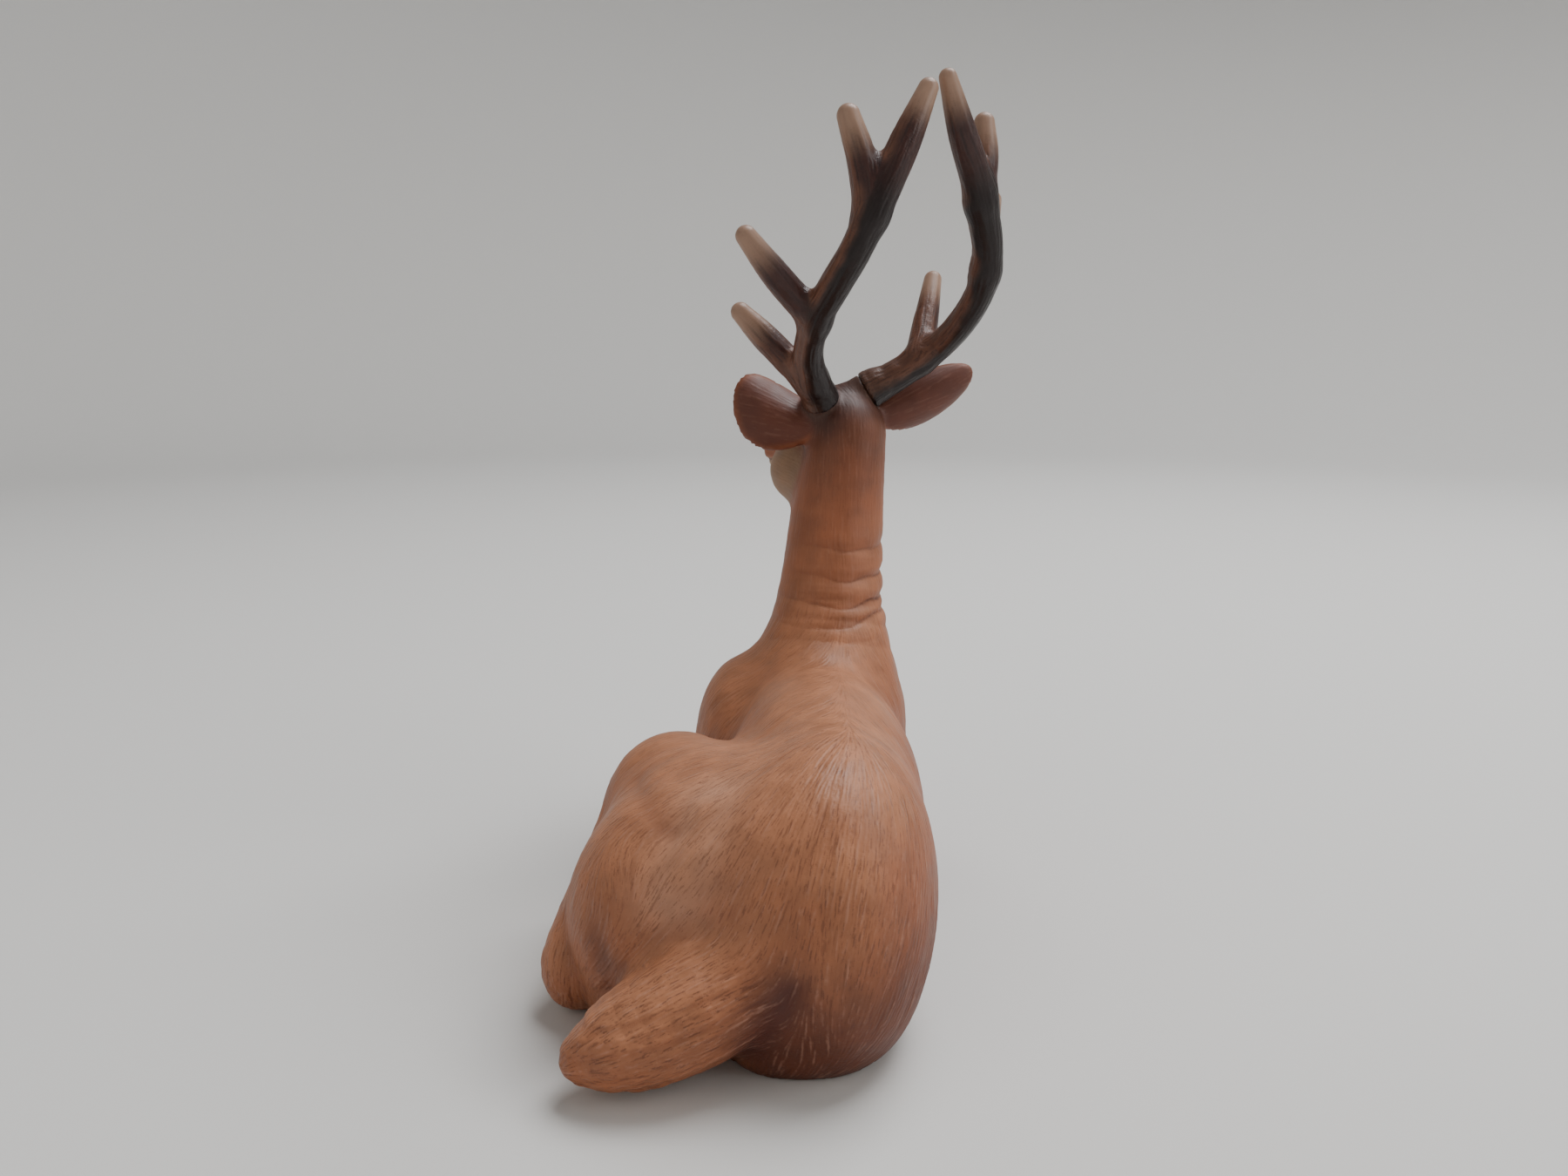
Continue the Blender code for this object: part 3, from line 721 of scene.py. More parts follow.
@dataclass
class Skin:
    """A closed skin of small squares whose corners are moved as whole arrays."""

    node: str
    voxel: float
    finer: Callable[[Array], Array] | None = None

    def __post_init__(self) -> None:
        """Lay even squares round a copy of the node's solid, and read their corners."""
        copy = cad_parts[self.node].data.copy()
        build = bmesh.new()
        build.from_mesh(copy)
        bmesh.ops.remove_doubles(build, verts=build.verts, dist=1e-6)
        build.to_mesh(copy)
        build.free()
        rough = shown("rough", copy)
        cover = rough.modifiers.new("cover", "REMESH")
        cover.mode = "VOXEL"
        cover.voxel_size = self.voxel * MM
        graph = bpy.context.evaluated_depsgraph_get()
        self.mesh = bpy.data.meshes.new_from_object(rough.evaluated_get(graph))
        bpy.data.objects.remove(rough)
        bpy.data.meshes.remove(copy)
        if self.finer is not None:
            self.refine(self.finer(self.read_points()))
        self.points = self.read_points()
        self.pairs = self.read(self.mesh.edges, "vertices", 2).astype(np.int64).T
        self.number = sum(np.bincount(ends, minlength=len(self.points)) for ends in self.pairs)

    def read(self, rows: bpy.types.bpy_prop_collection, key: str, width: int = 3) -> Array:
        """One vector or list of each row of the mesh, as an array."""
        flat = np.empty(len(rows) * width, dtype=np.int32 if key == "vertices" else np.float64)
        rows.foreach_get(key, flat)
        return flat.reshape(-1, width)

    def read_points(self) -> Array:
        """The mesh's corners in the stag's own frame, in millimetres."""
        return self.read(self.mesh.vertices, "co") / MM - OWN_ORIGIN

    def refine(self, chosen: Array) -> None:
        """Halve the squares whose corners are all chosen."""
        build = bmesh.new()
        build.from_mesh(self.mesh)
        faces = [face for face in build.faces if all(chosen[v.index] for v in face.verts)]
        edges = list({edge for face in faces for edge in face.edges})
        bmesh.ops.subdivide_edges(build, edges=edges, cuts=1, use_grid_fill=True)
        build.to_mesh(self.mesh)
        build.free()

    def neighbour_mean(self, values: Array) -> Array:
        """The mean of what each corner's neighbours hold."""
        columns = values.reshape(len(values), -1)
        total = np.zeros_like(columns)
        for here, there in (self.pairs, self.pairs[::-1]):
            for axis in range(columns.shape[1]):
                total[:, axis] += np.bincount(here, columns[there, axis], len(columns))
        return (total / self.number[:, None]).reshape(values.shape)

    def smoothed(self, values: Array, rounds: int) -> Array:
        """Values softened over their neighbours a number of times."""
        for _ in range(rounds):
            values = 0.5 * (values + self.neighbour_mean(values))
        return values

    def write(self) -> None:
        """Put the corners into the mesh, in metres in the row frame."""
        self.mesh.vertices.foreach_set("co", ((self.points + OWN_ORIGIN) * MM).ravel())
        self.mesh.update()

    def normals(self) -> Array:
        """The direction out of the skin at each corner."""
        self.write()
        return self.read(self.mesh.vertex_normals, "vector")

    def settle(self, distance: Callable[[Array], Array], rounds: int) -> None:
        """Bring every corner onto the surface where a distance is nought.

        Each round moves a corner by -f g / |g|², with f the distance there and g its slope,
        and all rounds but the last also even the squares out.

        Args:
            distance: The distance to the surface at given points.
            rounds: How often the corners are moved.
        """
        step = self.voxel * 0.2
        for turn in range(rounds):
            value = distance(self.points)
            slope = np.stack([distance(self.points + offset) - value
                              for offset in np.eye(3) * step], axis=1) / step
            size = np.maximum((slope**2).sum(axis=1), 0.2)
            move = -value[:, None] * slope / size[:, None]
            self.points = self.points + np.clip(move, -2.0 * self.voxel, 2.0 * self.voxel)
            if turn < rounds - 1:
                self.points += 0.5 * (self.neighbour_mean(self.points) - self.points)

    def sink(self, depth: Array) -> None:
        """Move every corner into the skin by a depth, along its normal."""
        self.points = self.points - self.normals() * depth[:, None]

    def hollows(self, rounds: int) -> Array:
        """How far the skin is sunk below its surroundings, in millimetres."""
        normals = self.normals()
        mean = self.points
        for _ in range(rounds):
            mean = self.neighbour_mean(mean)
        return ((mean - self.points) * normals).sum(axis=1)

    def mark(self, name: str, values: Array) -> None:
        """Keep directions or colours for the material, which are three or four wide."""
        kind, key = {3: ("FLOAT_VECTOR", "vector"), 4: ("FLOAT_COLOR", "color")}[values.shape[1]]
        layer = self.mesh.attributes.new(name, kind, "POINT")
        layer.data.foreach_set(key, values.astype(np.float32).ravel())

    def piece(self, name: str, slot: str, material: bpy.types.Material) -> bpy.types.Object:
        """Make the finished piece, which stands for its node and stays in the CAD's box."""
        low, high = (np.array(corner) / MM - OWN_ORIGIN for corner in CAD_BOX)
        self.points = np.clip(self.points, low, high)
        self.write()
        self.mesh.name = name
        self.mesh.materials.clear()
        self.mesh.materials.append(material)
        self.mesh.shade_smooth()
        thing = shown(name, self.mesh)
        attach(thing, "root")
        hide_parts(self.node)
        return thing


# Hair


@dataclass
class HairFlow:
    """Which way the moulded hair lies.

    It streams from the nose over the neck and back, turns out from a whorl on the croup,
    and runs down the legs, the ears and the tail.
    """

    form: StagForm
    whorl: Place = (-0.7, 40.5, 64.0)
    back_lean: float = 8.0
    side_lean: float = 1.4
    neck_way: Place = (0.0, 0.22, -1.0)
    neck_heights: tuple[float, float] = (56.0, 76.0)
    # The hock, where the thigh's hair runs together
    gather_place: Place = (48.1, 51.8, 35.8)
    gather_way: Place = (-0.45, 0.1, -1.0)
    gather_reach: float = 10.0
    rounds: int = 8

    def trunk_way(self, points: Array) -> Array:
        """Away from the whorl, and ahead of it back and down."""
        from_whorl = points - self.whorl
        from_whorl[:, 0] *= self.side_lean
        from_whorl[:, 1] = np.maximum(from_whorl[:, 1], 0.0) + self.back_lean
        return unit(from_whorl)

    def way(self, skin: Skin) -> Array:
        """The direction of the hair at each corner of the body's skin, at length one."""
        points, form = skin.points, self.form
        flow = self.trunk_way(points)
        flow = mixed(flow, unit(self.neck_way), eased(points[:, 2], *self.neck_heights))
        head = blended(points, form.head())
        flow = mixed(flow, -form.ahead - (0.0, 0.0, 0.25), eased(head, 3.0, 0.0))
        away = norms(points - self.gather_place)
        flow = mixed(flow, unit(self.gather_way), bell(away / self.gather_reach))
        for limb in (*form.legs(), form.tail()[1]):
            outside, along, _ = limb.nearest(points)
            flow = mixed(flow, along, eased(outside, 4.0, 0.5))
        for ear in form.ears:
            middle, axes, half = form.ear_frame(ear)
            local = (points - middle) @ axes.T
            fan = axes[0] + axes[1] * (local[:, 1:2] / (2.0 * half))
            flow = mixed(flow, fan, eased(form.ear(ear).distance(points), 1.5, 0.2))
        normals = skin.normals()
        flow = skin.smoothed(tangent(flow, normals), self.rounds)
        return tangent(flow, normals)


# Finishes


Tree = bpy.types.NodeTree
Socket = bpy.types.NodeSocket
Value = float | Sequence[float] | Socket
MULTIPLY = {"operation": "MULTIPLY"}
MAXIMUM = {"operation": "MAXIMUM"}
COLOUR = {"data_type": "RGBA"}


def add_node(tree: Tree, kind: str, settings: dict[str, object] | None = None,
             inputs: dict[str | int, Value] | Sequence[Value] = ()) -> bpy.types.Node:
    """Add a node with its settings and its links.

    Args:
        tree: The material's node tree.
        kind: The node's type after "ShaderNode", such as "Mix".
        settings: Properties of the node and their values.
        inputs: A value or the output linked to it for each socket, by its name or number,
            or for the first sockets in order.

    Returns:
        The node.
    """
    node = tree.nodes.new("ShaderNode" + kind)
    for name, value in (settings or {}).items():
        setattr(node, name, value)
    by_socket = inputs if isinstance(inputs, dict) else dict(enumerate(inputs))
    for name, value in by_socket.items():
        if isinstance(value, Socket):
            tree.links.new(value, node.inputs[name])
        else:
            node.inputs[name].default_value = value
    return node


@dataclass(frozen=True)
class StrokeMarks:
    """Fine strokes along the hair, drawn in the material.

    Noise is averaged at several places along the hair's direction, so it smears into
    strokes. The pitch is the real spacing of the incised hairs.
    """

    pitch: float
    reach: float
    samples: int = 9

    def add_to(self, tree: Tree) -> Socket:
        """Add the nodes, and return the strokes' height, about 0.35 to 0.65."""
        place = add_node(tree, "TexCoord").outputs["Object"]
        way = add_node(tree, "Attribute", {"attribute_name": "hair_way"}).outputs["Vector"]
        total: Value = 0.0
        for offset in np.linspace(-self.reach, self.reach, self.samples) * MM:
            moved = add_node(tree, "VectorMath", {"operation": "MULTIPLY_ADD"},
                             (way, (float(offset),) * 3, place)).outputs[0]
            noise = add_node(tree, "TexNoise", None,
                             {"Vector": moved, "Scale": 1.0 / (self.pitch * MM), "Detail": 0.0})
            total = add_node(tree, "Math", {"operation": "ADD"},
                             (total, noise.outputs[0])).outputs[0]
        return add_node(tree, "Math", {"operation": "DIVIDE"},
                        (total, float(self.samples))).outputs[0]


@dataclass(frozen=True)
class MouldedPaint:
    """Painted PVC: a sprayed tone, strokes in relief, and a dark wash in what is cut in.

    The skin's attributes hold the tone, which has painted light and shade sprayed into it, the
    strokes' way, and the marks: how much wash lies there, which on the coat is also painted
    shade in its hollows, folds and creases, how strong the strokes are, and how glossy the paint
    is. A ramp says where a change starts and ends, and what it gives there.
    """

    name: str
    wash: str
    roughness: float
    sheen: float
    bump: float
    relief: float
    ior: float = 1.5

    def strokes(self, tree: Tree, tone: Socket, strength: Socket) -> tuple[Value, ...]:
        """Add what sets one paint apart.

        Args:
            tree: The material's node tree.
            tone: The sprayed colour.
            strength: How strong the strokes are.

        Returns:
            The colour under the wash, where the wash is dark, the roughness, and the height.
        """
        raise NotImplementedError

    def material(self) -> bpy.types.Material:
        """Build the material, with all that is the same everywhere set on the shader."""
        made = bpy.data.materials.new(self.name)
        made.use_nodes = True
        tree = made.node_tree
        shader = tree.nodes["Principled BSDF"]
        tone = add_node(tree, "Attribute", {"attribute_name": "tone"}).outputs["Color"]
        marks = add_node(tree, "Attribute", {"attribute_name": "marks"}).outputs["Vector"]
        groove, strength, gloss = add_node(tree, "SeparateXYZ", None, (marks,)).outputs
        under, dark, rough, height = self.strokes(tree, tone, strength)
        drawn = add_node(tree, "Math", MULTIPLY, (dark, strength)).outputs[0]
        washed = add_node(tree, "Math", {**MAXIMUM, "use_clamp": True}, (drawn, groove))
        colour = add_node(tree, "Mix", COLOUR,
                          {0: washed.outputs[0], 6: under, 7: (*linear(self.wash), 1.0)})
        worn = add_node(tree, "Math", {"operation": "SUBTRACT"}, (rough, gloss))
        raised = add_node(tree, "Math", MULTIPLY, (height, strength)).outputs[0]
        bump = add_node(tree, "Bump", None, {"Strength": self.bump, "Height": raised,
                                             "Distance": self.relief * MM})
        tree.links.new(colour.outputs[2], shader.inputs["Base Color"])
        tree.links.new(worn.outputs[0], shader.inputs["Roughness"])
        tree.links.new(bump.outputs[0], shader.inputs["Normal"])
        shader.inputs["IOR"].default_value = self.ior
        shader.inputs["Specular IOR Level"].default_value = self.sheen
        return made


@dataclass(frozen=True)
class PaintedCoat(MouldedPaint):
    """Moulded PVC with a sprayed brown coat and a dark wash wiped into the incised hair.

    To the eye it is satin, with the wash as fine dark strokes, and a lighter drybrushing on
    what stands proud, which also serves as a painted highlight of the hair's sheen.
    """

    name: str = "moulded PVC, sprayed and washed coat"
    # The dark wash, which in the hollows, folds and creases also stands in as painted shade
    wash: str = "#4A2015"
    roughness: float = 0.52
    sheen: float = 0.38
    bump: float = 0.6
    relief: float = 1.4
    # Light drybrushing on the proud hair, which is also a painted highlight of its sheen
    drybrush_sheen: str = "#C0907A"
    fine: StrokeMarks = StrokeMarks(pitch=0.36, reach=0.85, samples=7)
    bold: StrokeMarks = StrokeMarks(pitch=0.62, reach=2.0, samples=11)
    cloud_pitch: float = 6.0
    cloud_span: tuple[float, float] = (0.3, 0.7)
    shade: tuple[float, float] = (0.84, 1.14)
    wear: float = 0.08
    drybrush_sheen_ramp: Row = (0.53, 0.62, 0.0, 0.34)
    fine_ramp: Row = (0.465, 0.40, 0.0, 0.55)
    bold_ramp: Row = (0.455, 0.40, 0.0, 0.42)

    def strokes(self, tree: Tree, tone: Socket, strength: Socket) -> tuple[Value, ...]:
        """Fine and bold dark strokes, drybrushed painted highlight, and clouds in tone and gloss.
        """
        fine, bold = self.fine.add_to(tree), self.bold.add_to(tree)
        place = add_node(tree, "TexCoord").outputs["Object"]
        cloud = add_node(tree, "TexNoise", None,
                         {"Vector": place, "Scale": 1.0 / (self.cloud_pitch * MM),
                          "Detail": 4.0}).outputs[0]
        worn = (self.roughness - self.wear, self.roughness + self.wear)
        shade, rough, drybrush_sheen, thin, long = (
            add_node(tree, "MapRange", None, sockets).outputs[0]
            for sockets in ((cloud, *self.cloud_span, *self.shade),
                            (cloud, *self.cloud_span, *worn), (bold, *self.drybrush_sheen_ramp),
                            (fine, *self.fine_ramp), (bold, *self.bold_ramp))
        )
        clouded = add_node(tree, "VectorMath", {"operation": "SCALE"},
                           {0: tone, "Scale": shade}).outputs[0]
        # How much of the lighter drybrushing, partly a painted highlight, each place gets
        drybrushed_sheen = add_node(tree, "Math", MULTIPLY, (drybrush_sheen, strength)).outputs[0]
        colour = add_node(tree, "Mix", COLOUR,
                          {0: drybrushed_sheen, 6: clouded, 7: (*linear(self.drybrush_sheen), 1.0)}).outputs[2]
        return colour, add_node(tree, "Math", MAXIMUM, (thin, long)).outputs[0], rough, bold


@dataclass(frozen=True)
class PaintedAntler(MouldedPaint):
    """Moulded PVC painted as antler, with a dark wash in its long grooves and bare tips.

    It is glossier than the coat, because the handling and the thicker paint smooth it.
    """

    name: str = "moulded PVC, glossy antler paint"
    wash: str = "#1E1314"
    roughness: float = 0.42
    sheen: float = 0.35
    bump: float = 0.4
    relief: float = 1.2
    grooves: StrokeMarks = StrokeMarks(pitch=0.6, reach=2.2)
    groove_ramp: Row = (0.52, 0.42, 0.0, 0.55)

    def strokes(self, tree: Tree, tone: Socket, strength: Socket) -> tuple[Value, ...]:
        """Long dark grooves over the sprayed tone."""
        groove = self.grooves.add_to(tree)
        dark = add_node(tree, "MapRange", None, (groove, *self.groove_ramp)).outputs[0]
        return tone, dark, self.roughness, groove


# The stag's body


@dataclass(frozen=True)
class CoatTones:
    """The paints of the coat and face, as sRGB hex values."""

    # Painted highlight along the thigh's ridge
    pale: str = "#C08E72"
    # Painted light: lighter paint on the faces that turn up, and painted highlight on carved
    # ridges
    light: str = "#B27856"
    middle: str = "#9A5F3F"
    ruddy: str = "#84492F"
    # Painted shade: dark paint sprayed low down, on faces that turn down, and into the valleys
    under: str = "#47190D"
    # Dark paint on the nape and round the antlers' feet, and painted shade behind the jaw
    crown: str = "#43241A"
    joint: str = "#4A2F24"
    ear_back: str = "#5E3325"
    # Lighter rim of the ear's back, a painted glow of light through its thin edge
    ear_rim: str = "#80492F"
    ear_inside: str = "#C9B294"
    cheek: str = "#8A6A50"
    chin: str = "#CDBCA2"
    nose: str = "#1C1614"
    hoof: str = "#2E2522"
    eye: str = "#0C0807"


# Lines on the body, from above down: the ridge over the left thigh, and the valley beside
# the tail
THIGH_RIDGE = ((28.2, 44.2, 51.3), (29.5, 51.4, 47.8), (32.2, 56.4, 41.9), (35.8, 59.7, 32.7))
TAIL_VALLEY = ((13.1, 71.3, 22.2), (16.6, 70.5, 16.1), (20.1, 67.5, 9.2), (23.0, 65.0, 2.0))


@dataclass
class StagBody:
    """The body's moulding: its skin, its carving, its hair and its paint."""

    form: StagForm
    voxel: float = 0.94
    rounds: int = 3
    fold_line: float = 0.4
    clump_pitch: float = 1.7
    clump_reach: float = 4.5
    clump_depth: float = 0.16
    # How much dark paint lies between the clumps, in hollows, folds, creases and face lines:
    # wash between the clumps and in the face lines, and wash with painted shade in the rest
    wash_and_shade_shares: tuple[float, ...] = (0.10, 0.45, 0.7, 0.4, 0.9)
    # How glossy the eyes, the nose and the hooves are, over the coat
    gloss_shares: Place = (0.36, 0.12, 0.08)
    # On the head, forward, left and up from the middle of the skull
    nose_end: Region = ((33.0, 0.0, -5.2), (4.0, 4.6, 3.4))
    nostril: Region = ((32.6, 2.6, -5.0), (1.3, 0.9, 0.8))
    lids: Region = ((12.6, 8.2, 0.6), (3.1, 3.0, 2.6))
    cheek: Region = ((12.0, 0.0, -15.0), (13.0, 40.0, 11.0))
    # The limbs that end in hooves, each with how far along its limb the hoof starts
    hoof_limbs: tuple[tuple[int, float], ...] = ((2, 0.35), (4, 0.35), (6, 0.75), (8, 0.75))
    tones: CoatTones = CoatTones()
    finish: PaintedCoat = PaintedCoat()
    # The crease and ridge of the thigh, the seam over the tail, the valleys beside the tail
    # and under the hock
    creases: tuple[Crease, ...] = (
        Crease(((46.8, 18.0, 46.0), (45.8, 26.0, 46.2), (42.2, 39.6, 46.6),
                (38.6, 47.2, 45.0), (35.2, 50.6, 44.2), (30.0, 53.8, 44.4)), 0.5, 2.5),
        Crease(THIGH_RIDGE, -0.8, 3.6),
        Crease(((40.2, 60.4, 23.9), (35.4, 61.9, 26.0), (30.2, 64.5, 27.7),
                (25.2, 66.5, 28.3), (21.1, 68.4, 27.9)), -0.6, 1.0),
        Crease(((9.9, 72.1, 26.5), *TAIL_VALLEY), 0.8, 2.0),
        Crease(((54.3, 48.4, 30.8), (52.3, 52.4, 28.1), (50.7, 55.2, 24.0),
                (48.9, 56.7, 20.4), (46.9, 57.8, 16.4)), 0.45, 2.6),
    )
    # Painted highlight: pale paint sprayed along the thigh's ridge, where the light catches it:
    # how strong, and how wide
    highlight_band: Crease = Crease(((26.0, 36.0, 54.5), *THIGH_RIDGE, (36.5, 61.0, 25.0)), 0.75, 8.0)
    # Where dark paint is sprayed into the valleys: how strong, and how wide
    shadows: tuple[Crease, ...] = (
        Crease(((9.9, 72.1, 28.0), *TAIL_VALLEY), 0.8, 5.0),
        Crease(((53.0, 52.0, 28.0), (50.5, 55.4, 21.0), (48.5, 56.9, 13.0),
                (47.0, 57.5, 4.0)), 0.4, 4.0),
    )

    def __post_init__(self) -> None:
        """Work out the field and the noise once."""
        self.field = BodyField(self.form)
        self.grain = Grain(20)

    def fine_region(self, points: Array) -> Array:
        """Where the skin is finer: the face, the folded neck, the tail, the antlers' joints."""
        local = self.form.on_head(points)
        forward, _, up = self.form.eye_place
        eyes = np.hypot(local[:, 0] - forward, local[:, 2] - up) < 6.0
        muzzle = local[:, 0] > 19.0
        near = np.abs(local[:, 1]) < 16.0
        face = (eyes | muzzle) & near & (local[:, 2] > -22.0) & (local[:, 0] < 40.0)
        back, right, _ = self.field.round_neck(points)
        neck = (points[:, 1] < -20.0) & (np.abs(points[:, 2] - 75.0) < 15.0)
        neck &= back + 0.4 * right > -0.2
        joints = [norms(points - self.form.burr_frame(line)[0]) < 7.0 for line in ANTLER_LINES]
        tail = self.form.tail()[1].distance(points) < 1.0
        return face | neck | tail | joints[0] | joints[1]

    def hair(self, points: Array) -> Array:
        """How strong the hair is, from 0 to 1: most on the tail, none on hooves and nose."""
        form = self.form
        share = 0.5 + 0.3 * eased(points[:, 1], 5.0, 45.0)
        share += 0.2 * eased(form.legs()[0].distance(points), 2.0, 0.0)
        share += 0.2 * eased(form.tail()[1].distance(points), 2.0, 0.0)
        share *= 1.0 - 0.5 * eased(points[:, 2], 60.0, 80.0)
        bare = np.max((self.hooves(points), self.nose(points), self.eyes(points)), axis=0)
        return np.minimum(share, 1.0) * (1.0 - bare)

    def hooves(self, points: Array) -> Array:
        """Where the four hooves are, each the last part of its leg."""
        result = np.zeros(len(points))
        for number, start in self.hoof_limbs:
            outside, _, run = self.form.legs()[number].nearest(points)
            result = np.maximum(result, eased(outside, 1.2, 0.4) * eased(run, start, start + 0.08))
        return result

    def nose(self, points: Array) -> Array:
        """Where the bare nose is, at the end of the muzzle."""
        return eased(share_out(self.form.on_head(points), self.nose_end), 1.12, 0.95)

    def eyes(self, points: Array) -> Array:
        """Where the two glossy eyes are."""
        away = np.min([self.form.eye(side).distance(points) for side in (-1, 1)], axis=0)
        return eased(away, 0.35, 0.1)

    def face_lines(self, points: Array) -> Array:
        """Depth of the mouth, the nostrils and the lids."""
        forward, left, up = self.form.on_head(points).T
        both = np.column_stack((forward, np.abs(left), up))
        mouth_line = -9.6 + 0.004 * (forward - 24.0) ** 2
        mouth = bell((up - mouth_line) / 0.7) * eased(forward, 19.5, 22.0)
        nostril = bell(share_out(both, self.nostril))
        lids = bell((share_out(both, self.lids) - 1.0) / 0.22)
        on_head = blended(points, self.form.head()) < 2.0
        return (0.6 * mouth + 0.8 * nostril + 0.45 * lids) * on_head

    def hoof_clefts(self, points: Array) -> Array:
        """Depth of the groove between the two toes of each hoof."""
        depth = np.zeros(len(points))
        for number, _ in self.hoof_limbs:
            rows = self.form.legs()[number].rows[:, :3]
            across = unit(np.cross(unit(rows[-1] - rows[0]), (0.0, 0.0, 1.0)))
            depth += 0.9 * bell((points - rows[-1]) @ across / 0.8) * self.hooves(points)
        return depth

    def fine_folds(self, points: Array) -> Array:
        """Depth of the sharp lines in the neck's folds, and of the wrinkles between them."""
        back, right, left = self.field.round_neck(points)
        wander = 0.9 * self.grain.at(points * (1.0, 1.0, 0.4) + 90.0, 8.0)
        lift = self.field.neck_lift(points, back) + wander
        lines = sum(fold.depth * np.exp(-np.abs(lift - fold.height - fold.lean * left)
                                        / self.fold_line) for fold in self.field.folds)
        patchy = 0.45 + 0.55 * eased(self.grain.at(points + 15.0, 7.0) + 0.5 * right, -0.5, 0.5)
        wave = self.grain.at(points * (0.12, 0.12, 1.0) + 40.0, 1.3)
        inside = eased(points[:, 2], 60.0, 66.0) * eased(points[:, 2], 92.0, 84.0)
        reach = eased(back + 0.4 * right, -0.2, 0.6) * inside * (points[:, 1] < -20.0)
        reach *= 0.35 + 0.65 * eased(right, -0.5, 0.4)
        return (0.75 * lines * patchy + 0.22 * np.clip(wave, 0.0, 1.0)) * reach

    def tone(self, skin: Skin, raised: Array) -> Array:
        """The sprayed colour, with painted light and shade, at each corner before the fine
        strokes.

        Args:
            skin: The body's skin in its final shape.
            raised: How far a carved ridge stands proud, in millimetres, for its painted highlight.

        Returns:
            Linear colours with an alpha of one.
        """
        points, form = skin.points, self.form
        ahead, aside, above = form.on_head(points).T
        beside, upright = np.abs(aside), skin.normals()[:, 2]
        left, height = points[:, 0], points[:, 2]
        paint = {name: linear(value) for name, value in vars(self.tones).items()}
        cloud = self.grain.at(points, 11.0) + 0.6 * self.grain.at(points + 7.0, 4.5)
        # Low down and turned down, where painted shade is sprayed
        low = eased(height + 4.0 * cloud, 46.0, 4.0) * eased(upright, 0.7, -0.1)
        nape = eased(height + 2.0 * cloud, 94.0, 112.0) * eased(ahead, 12.0, 2.0)
        head = blended(points, form.head())
        face = eased(head, 2.2, 0.4)
        cheek = share_out(form.on_head(points), self.cheek)
        jaw = eased(cheek, 1.0, 1.15) * eased(cheek, 1.7, 1.3) * eased(ahead, 8.0, 2.0)
        chin = eased(above, -8.0, -11.0) * eased(ahead, 18.0, 22.0)
        layers = [
            # Painted light: the faces that turn up are sprayed lighter
            (paint["light"], 0.75 * eased(upright + 0.25 * cloud, -0.1, 0.9)),
            (paint["ruddy"], 0.6 * eased(height + 3.0 * cloud, 62.0, 104.0)),
            (paint["ruddy"], 0.6 * eased(left, 4.0, -14.0)
             * eased(height + 3.0 * cloud, 58.0, 44.0)),
            # Painted highlight along the thigh's ridge
            (paint["pale"], self.highlight_band.at(points)),
            # Painted shade low down on the faces that turn down, and painted shadow in the valleys
            (paint["under"], 0.8 * low * eased(left, 32.0, 16.0)),
            (paint["under"], np.clip(sum(part.at(points) for part in self.shadows), 0.0, 0.9)),
            # Painted highlight on the carved ridges
            (paint["light"], np.clip(0.8 * raised, 0.0, 0.7)),
            (paint["crown"], 0.5 * nape * eased(-aside, 9.0, 4.0)),
            (paint["cheek"], face * eased(cheek, 1.15, 0.75) * eased(beside, 2.0, 4.0)),
            # Painted shade, with dark wash, in the crease behind the jaw
            (paint["crown"], 0.6 * jaw * eased(head, 4.0, 1.5)),
            (paint["chin"], 0.85 * face * chin),
        ]
        # Round each antler's foot: dark paint, partly painted shade from the antler, and the
        # joint's colour
        for line in ANTLER_LINES:
            away = norms(points - form.burr_frame(line)[0])
            layers += [(paint["crown"], 0.9 * eased(away + 1.5 * cloud, 16.0, 6.0)),
                       (paint["joint"], eased(away, 6.2, 5.4))]
        for ear in form.ears:
            leaf = form.ear(ear)
            near = eased(leaf.distance(points), 1.2, 0.3)
            inside = eased(form.ear_cup(ear).distance(points), 0.7, 0.1)
            # The rim of each ear's back is painted lighter, a painted glow of light through its
            # edge
            edge = norms((leaf.local(points) / leaf.radii)[:, :2])
            back = mixed(paint["ear_back"], paint["ear_rim"],
                         0.8 * eased(edge + 0.06 * cloud, 0.84, 1.0))
            layers += [(back, near * (1.0 - inside)), (paint["ear_inside"], inside * near)]
        layers += [(paint["nose"], self.nose(points)), (paint["hoof"], self.hooves(points)),
                   (paint["eye"], self.eyes(points))]
        return sprayed(paint["middle"], layers)

    def build(self) -> bpy.types.Object:
        """Make the body."""
        skin = Skin("deer_body", self.voxel, self.fine_region)
        skin.settle(self.field.distance, self.rounds)
        points = skin.points
        carved = sum(crease.at(points) for crease in self.creases)
        folds, lines = self.fine_folds(points), self.face_lines(points)
        skin.sink(carved + folds + lines + self.hoof_clefts(points))
        way = HairFlow(self.form).way(skin)
        hair, nose, eyes = self.hair(points), self.nose(points), self.eyes(points)
        clumps = self.grain.strokes(points, way, self.clump_pitch, self.clump_reach)
        # How far each corner is sunk below its neighbours; dark paint there is wash with painted
        # shade
        hollow = skin.hollows(6) / 0.5
        skin.sink(self.clump_depth * hair * np.clip(0.3 - clumps, 0.0, 1.8))
        skin.points[:, 2] = np.maximum(skin.points[:, 2], 0.0)
